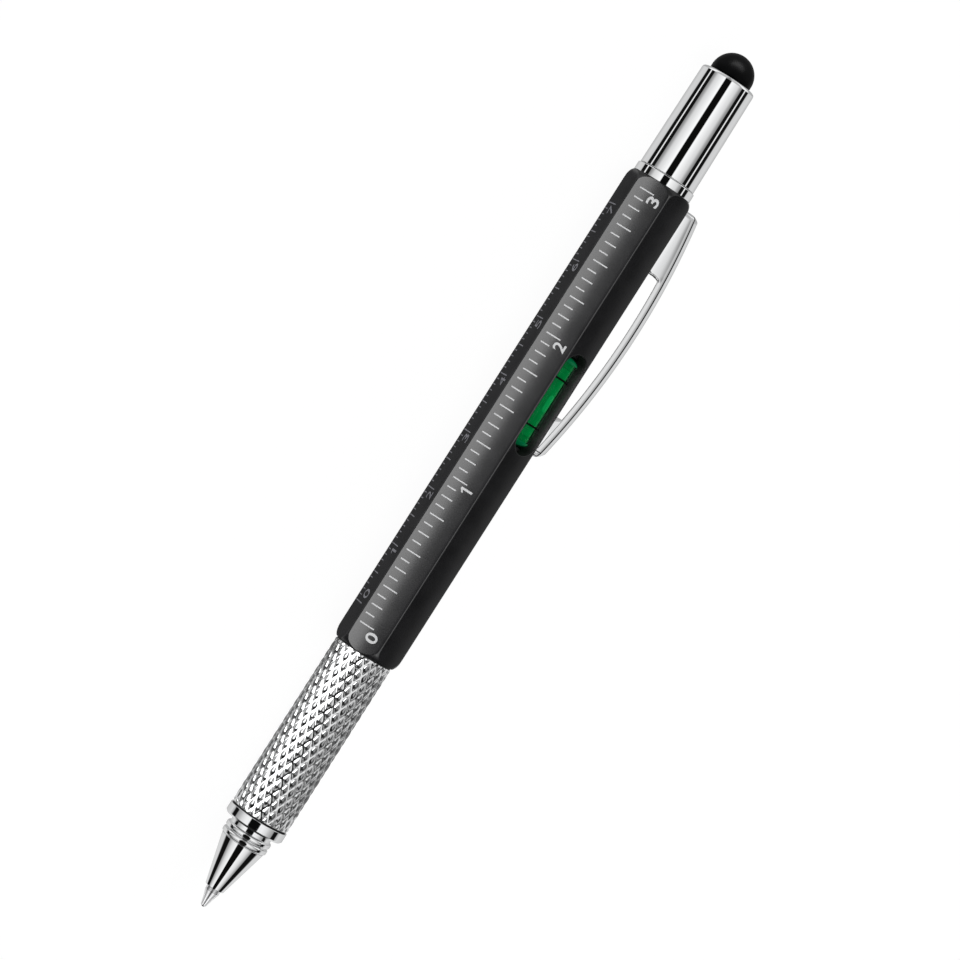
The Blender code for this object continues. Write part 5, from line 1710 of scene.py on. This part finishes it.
@dataclass
class DriverSocket:
    """The chrome bush in the barrel's top: flange, spigot with its rubber ring, and bit socket."""

    bottom: float = 113.0
    shank: float = 3.35
    flange_start: float = 127.22
    flange_end: float = 128.6
    flange_radius: float = 4.85
    spigot_radius: float = 3.75
    top: float = 133.8
    groove: float = 131.0
    groove_depth: float = 0.4
    wire: float = 0.24
    socket_start: float = 116.75
    socket_flats: float = 4.2
    magnet_bore: float = 2.05
    bottom_bore: float = 1.4
    lead: float = 0.12
    lead_depth: float = 0.15
    ring_gap: float = 0.05
    groove_spare: float = 0.1
    ledge: float = 0.6
    around: int = 192

    def build(self) -> None:
        """Turns the outside, and lines the inside with the hexagonal socket.

        On the socket's rows the radius is half the width across flats over cos of the angle from
        the nearest flat.
        """
        half = self.wire + self.groove_spare
        floor = self.spigot_radius - self.groove_depth
        outside = rounded_path([
            (self.bottom, self.bottom_bore, 0.05), (self.bottom, self.shank, 0.2),
            (self.flange_start, self.shank, 0.05), (self.flange_start, self.flange_radius, 0.08),
            (self.flange_end, self.flange_radius, 0.1), (self.flange_end, self.spigot_radius, 0.05),
            (self.groove - half, self.spigot_radius, 0.04), (self.groove - half, floor, 0.06),
            (self.groove + half, floor, 0.06), (self.groove + half, self.spigot_radius, 0.04),
            (self.top, self.spigot_radius, 0.25),
            (self.top, self.socket_flats / math.sqrt(3) + self.lead, 0.05)], closed=False)
        angle = round_angles(self.around)
        hexagon = self.socket_flats / 2 / np.cos(from_flat(angle))
        magnet = np.full(self.around, self.magnet_bore)
        inside = [
            (self.top - self.lead_depth, hexagon), (self.top - 3.0, hexagon),
            (self.socket_start + 0.05, hexagon), (self.socket_start, magnet),
            (self.bottom + self.ledge, magnet),
            (self.bottom + self.ledge, np.full(self.around, self.bottom_bore))]
        rows = [polar(outside[:, 0:1], outside[:, 1:2], angle[None, :])]
        rows += [polar(np.full(self.around, station), radius, angle)[None]
                 for station, radius in inside]
        shell = Shell().grid(np.concatenate(rows), wrap_rows=True, wrap_columns=True)
        mesh = shell.mesh("cap_bush_turned")
        add_piece("bush_turned", mesh, "barrel", Chrome(), "cap_bush")
        turn = round_angles(16)
        out = floor + self.wire + self.ring_gap + self.wire * np.sin(turn)
        ring = np.stack([self.groove + self.wire * np.cos(turn), out], axis=1)
        mesh = Shell().turned(ring, 128, closed=True).mesh("cap_ring")
        add_piece("cap_ring_moulded", mesh, "barrel", SEAL_RUBBER, "cap_o_ring")
        dress(STEEL, "bit_magnet")
        dress(TOOL_STEEL, "driver_bit")


@dataclass
class StylusCap:
    """The cap: a chrome sleeve, the plug in its end and the rubber dome on the plug's stem."""

    start: float = 128.7
    end: float = 145.9
    base_radius: float = 4.62
    top_radius: float = 4.45
    bore: float = 3.95
    end_wall: float = 1.3
    edge: float = 0.45
    hole: float = 2.2
    dome_start: float = 146.0
    dome_end: float = 150.0
    dome_radius: float = 3.4
    skirt: float = 0.6
    stem_end: float = 147.65
    around: int = 192

    def sleeve(self) -> bpy.types.Mesh:
        """The tapered sleeve with its turned-in end."""
        path = rounded_path([
            (self.start, self.bore, 0.08), (self.start, self.base_radius, 0.12),
            (self.end, self.top_radius, self.edge), (self.end, self.hole, 0.08),
            (self.end - self.end_wall, self.hole, 0.03), (self.end - self.end_wall, self.bore, 0.1),
        ], closed=True, steps=8)
        return Shell().turned(path, self.around, closed=True).mesh("cap_sleeve_turned")

    def dome(self) -> bpy.types.Mesh:
        """The rubber dome: a short skirt with a soft lip, then a sphere's arc over the stem."""
        turn = np.linspace(0.0, math.pi / 2, 28)
        tall = self.dome_end - self.dome_start - self.skirt
        stations = self.dome_start + self.skirt + tall * np.sin(turn)
        crown = np.stack([stations, self.dome_radius * np.cos(turn)], axis=1)
        crown[-1, 1] = 0.0
        skirt = rounded_path([
            (self.stem_end + 0.05, 0.0, 0.0), (self.stem_end + 0.05, self.hole, 0.1),
            (self.dome_start, self.hole, 0.1), (self.dome_start, self.dome_radius, 0.28),
            (self.dome_start + self.skirt, self.dome_radius, 0.0)], closed=False)
        path = np.vstack([skirt[:-1], crown])
        return Shell().turned(path, self.around).mesh("stylus_dome_moulded")

    def build(self) -> None:
        """Adds the sleeve and the dome, and dresses the plug."""
        add_piece("sleeve_turned", self.sleeve(), "cap", Chrome(), "cap_sleeve")
        add_piece("dome_moulded", self.dome(), "cap", STYLUS_RUBBER, "stylus_dome")
        dress(DARK_PLASTIC, "stylus_plug")


@dataclass
class Studio:
    """Camera, floor and light, all set by how the photograph looks at the pen.

    Directions square to the pen are given as angles round it from the camera's side, positive to
    the picture's right.
    """

    elevation: float = 40.0
    cap_towards: float = 1.0
    roll: float = 32.5
    aim_station: float = 75.9
    aim_side: float = 0.75
    distance: float = 545.0
    pixels_per_mm: float = 6.72
    frame_pixels: float = 960.0
    sensor: float = 36.0
    floor_size: float = 1.6
    floor_drop: float = 0.02
    floor_shade: float = 0.12
    floor_glow: float = 0.95
    bands: Pairs = (
        (0.0, 0.004), (12.0, 0.004), (14.0, 1.05), (17.0, 1.12), (24.0, 1.02), (30.0, 0.96),
        (37.0, 0.87), (46.0, 0.78), (50.0, 0.65), (53.5, 0.5), (57.0, 0.39), (61.0, 0.32),
        (63.5, 0.26), (65.0, 0.006), (79.0, 0.006), (80.2, 1.0), (84.0, 1.0), (85.5, 0.006),
        (101.0, 0.006), (105.0, 0.7), (130.0, 0.74), (150.0, 0.6), (180.0, 0.42))
    collar_bands: Pairs = (
        (0.0, 0.004), (18.0, 0.004), (20.5, 1.0), (34.0, 1.0), (50.0, 0.8), (62.0, 0.55),
        (77.0, 0.35), (79.5, 0.006), (97.0, 0.006), (99.5, 0.45), (112.0, 0.75), (150.0, 0.62),
        (180.0, 0.42))
    shade_bands: Pairs = (
        (0.0, 0.01), (40.0, 0.05), (98.0, 0.08), (108.0, 0.75), (150.0, 0.75), (180.0, 0.5))
    cone_bands: Pairs = (
        (0.0, 0.004), (18.0, 0.004), (20.5, 1.05), (34.0, 0.95), (48.0, 0.8), (60.0, 0.5),
        (69.0, 0.32), (71.0, 0.006), (109.0, 0.006), (113.0, 0.85), (150.0, 0.8), (180.0, 0.5))
    cap_bands: Pairs = (
        (0.0, 0.2), (9.0, 0.3), (14.0, 0.6), (50.0, 0.5), (60.0, 0.6), (66.0, 1.1), (98.0, 1.05),
        (106.0, 0.5), (180.0, 0.42))
    slants: Pairs = (
        (-0.22, -0.15), (0.117, 0.125), (0.18, 0.24), (0.4, 0.44), (0.74, 0.86))

    def to_camera(self) -> Vector:
        """The direction from the pen to the camera."""
        lean, rise = math.radians(self.cap_towards), math.radians(self.elevation)
        flat = math.cos(lean)
        return Vector((-math.sin(lean), -math.cos(rise) * flat, math.sin(rise) * flat))

    def around(self, angle: float) -> Vector:
        """The direction square to the pen at an angle round it from the camera's side."""
        turn = math.radians(angle - (90.0 - self.elevation))
        return Vector((0.0, math.sin(turn), math.cos(turn)))

    def camera(self) -> None:
        """Places the camera so that the pen lies at its slant, and aims it a little off the axis.

        The picture's right and up are the pen's slanted direction and its normal turned back by
        the slant.
        """
        back = self.to_camera()
        up_pen = Vector((-1.0, 0.0, 0.0))
        up_pen = (up_pen - back * up_pen.dot(back)).normalized()
        side = up_pen.cross(back)
        turn = math.radians(self.roll)
        right = up_pen * math.sin(turn) + side * math.cos(turn)
        up = up_pen * math.cos(turn) - side * math.sin(turn)
        aim = Vector((TIP_X - self.aim_station * MM, 0.0, AXIS_Z)) + side * self.aim_side * MM
        data = bpy.data.cameras.new("camera")
        data.sensor_width = self.sensor
        data.lens = self.pixels_per_mm * self.distance * self.sensor / self.frame_pixels
        data.clip_start = 0.01
        made = link("camera", data)
        place = aim + back * self.distance * MM
        turned = Matrix((right, up, back)).transposed().to_4x4()
        made.matrix_world = Matrix.Translation(place) @ turned
        bpy.context.scene.camera = made

    def world(self) -> None:
        """Soft boxes and dark flags in long bands along the pen, as its chrome shows them.

        A direction's brightness depends on its angle round the pen, measured from the camera's
        side and the same to both hands. Which row of bands it is read from depends on its slant
        along the pen: the first for those that lean towards the cap, the second for those about
        square to the pen, then one after another towards the tip, where the last is dark.
        The camera itself sees plain white.
        """
        made = bpy.data.worlds.new("studio")
        bpy.context.scene.world = made
        made.use_nodes = True
        nodes = Nodes(made.node_tree)
        way = nodes.add("TexCoord", output="Generated")
        ahead, aside, along = (
            nodes.add("VectorMath", {"operation": "DOT_PRODUCT"}, {0: way, 1: tuple(axis)},
                      output="Value")
            for axis in (self.around(0.0), self.around(90.0), Vector((1.0, 0.0, 0.0))))
        angle = abs(aside.math("ARCTAN2", ahead)) / math.pi
        rows = (self.cap_bands, self.bands, self.collar_bands, self.shade_bands, self.cone_bands)
        level, *later = (
            nodes.add("ValToRGB", {"stops": [(place / 180.0, value) for place, value in bands]},
                      {0: angle})
            for bands in rows)
        for row, slant in zip([*later, (0.02, 0.02, 0.02)], self.slants):
            level = nodes.blend(along.span(*slant), level, row)
        seen = nodes.add("LightPath", output="Is Camera Ray")
        light = nodes.add("Background", None, {"Color": level, "Strength": 1.0})
        plain = nodes.add("Background", None, {"Color": (1.0, 1.0, 1.0), "Strength": 1.0})
        mixed = nodes.add("MixShader", None, {0: seen, 1: light, 2: plain})
        nodes.add("OutputWorld", None, {"Surface": mixed})

    def sheet(self, name: str, corners: list[Vector], colour: float,
              glow: float) -> bpy.types.Object:
        """A flat sheet of the studio's.

        Args:
            name: its name.
            corners: its corners in the world's metres.
            colour: how pale it is.
            glow: how brightly it shines by itself.

        Returns:
            The sheet.
        """
        mesh = bpy.data.meshes.new(name)
        mesh.from_pydata([tuple(corner) for corner in corners], [], [(0, 1, 2, 3)])
        made = link(name, mesh)
        material = bpy.data.materials.new(name)
        material.use_nodes = True
        nodes = Nodes(material.node_tree)
        surface = nodes.principled({
            "Base Color": (colour,) * 3, "Roughness": 1.0, "Specular IOR Level": 0.0,
            "Emission Color": (1.0, 1.0, 1.0), "Emission Strength": glow})
        nodes.add("OutputMaterial", None, {"Surface": surface})
        mesh.materials.append(material)
        return made

    def floor(self) -> None:
        """A plain white floor that glows as a light table does, with a faint shadow at the pen."""
        half = self.floor_size / 2
        corners = [Vector((x * half, y * half, -self.floor_drop * MM))
                   for x, y in ((-1, -1), (1, -1), (1, 1), (-1, 1))]
        made = self.sheet("floor", corners, self.floor_shade, self.floor_glow)
        made.visible_glossy = False

    def flag(self, name: str, stations: tuple[float, float], near: float, far: float, away: float,
             glow: float) -> None:
        """A dark card along part of the pen, that only shows in reflections.

        Args:
            name: its name.
            stations: where it starts and ends along the pen.
            near: the angle round the pen of its first edge.
            far: the angle of its other edge.
            away: how far from the pen it stands.
            glow: its brightness.
        """
        axis = Vector((TIP_X, 0.0, AXIS_Z))
        edges = [axis + self.around(angle) * away * MM for angle in (near, far)]
        first, last = (Vector((-station * MM, 0.0, 0.0)) for station in stations)
        corners = [edges[0] + first, edges[0] + last, edges[1] + last, edges[1] + first]
        card = self.sheet(name, corners, 0.0, glow)
        card.visible_camera = card.visible_diffuse = False
        card.visible_shadow = card.visible_transmission = False

    def lamp(self, name: str, stations: tuple[float, float], near: float, far: float, away: float,
             radiance: float, *lit: str) -> None:
        """A soft box along part of the pen that lights only certain pieces.

        Args:
            name: its name.
            stations: where it starts and ends along the pen.
            near: the angle round the pen of its first edge.
            far: the angle of its other edge.
            away: how far from the pen its middle stands.
            radiance: how bright its surface is.
            lit: the pieces that it lights.
        """
        half = math.radians(far - near) / 2
        width = 2.0 * away * math.tan(abs(half)) * MM
        length = (stations[1] - stations[0]) * MM
        data = bpy.data.lights.new(name, "AREA")
        data.shape = "RECTANGLE"
        data.size, data.size_y = length, width
        data.energy = radiance * math.pi * length * width
        made = link(name, data)
        out = self.around((near + far) / 2)
        along = Vector((1.0, 0.0, 0.0))
        middle = Vector((TIP_X - sum(stations) / 2 * MM, 0.0, AXIS_Z)) + out * away * MM
        turned = Matrix((along, out.cross(along), out)).transposed().to_4x4()
        made.matrix_world = Matrix.Translation(middle) @ turned
        made.visible_camera = False
        group = bpy.data.collections.new(name)
        for piece in lit:
            group.objects.link(bpy.data.objects[piece])
        made.light_linking.receiver_collection = group

    def build(self) -> None:
        """Sets up camera, world and floor."""
        bpy.context.scene.view_settings.view_transform = "Standard"
        self.camera()
        self.world()
        self.floor()

    def light(self) -> None:
        """Sets the cards and soft boxes that shape single pieces, once those are there."""
        self.flag("flag_under", (40.0, 127.4), -99.0, -170.0, 12.0, 0.11)
        self.flag("flag_right_of_grip", (17.5, 43.0), 104.0, 175.0, 14.0, 0.17)
        self.flag("flag_left_of_grip", (17.5, 43.0), -104.0, -175.0, 11.0, 0.17)
        self.lamp("lamp_inch_face", (20.0, 145.0), -55.0, -20.0, 36.0, 8.4, "barrel_lacquered")
        self.lamp("lamp_print", (20.0, 145.0), -55.0, -19.0, 36.0, 0.9,
                  "marks_inches", "numerals_inches")
        self.lamp("lamp_edge", (20.0, 145.0), 25.0, 55.0, 36.0, 3.0, "barrel_lacquered")
        self.lamp("lamp_grip", (-20.0, 125.0), -74.0, -14.0, 250.0, 3.2, "grip_knurled")
        self.lamp("lamp_dome", (180.0, 240.0), -45.0, 45.0, 30.0, 22.0, "dome_moulded")
        for side in (-1.0, 1.0):
            name = "lamp_point_left" if side < 0 else "lamp_point_right"
            self.lamp(name, (-75.0, -25.0), 28.0 * side, 118.0 * side, 60.0, 0.4, "point_turned")


def main() -> None:
    """Sets up the studio, builds the pen's sub-assemblies in order, then sets the studio's cards
    and lamps.
    """
    logging.basicConfig(level=logging.INFO, format="%(message)s")
    studio = Studio()
    studio.build()
    WritingTip().build()
    NoseCone().build()
    KnurledGrip().build()
    barrel = HexBarrel()
    barrel.build()
    PrintedRule(Scale.INCHES, barrel, Print(), skew=0.0058).build()
    PrintedRule(Scale.CENTIMETRES, barrel, FaintPrint(), bold=0.0, mark_width=0.16).build()
    SpiritLevel().build()
    SpringClip().build()
    DriverSocket().build()
    StylusCap().build()
    dress(BRASS, "guide_tube", "grip_bush", "refill_tube")
    dress(ACETAL, "twist_cam", "refill_carrier")
    dress(STEEL, "follower_pin")
    dress(INK, "ink_column")
    dress(SEAL_RUBBER, "grip_o_ring")
    studio.light()


if __name__ == "__main__":
    main()
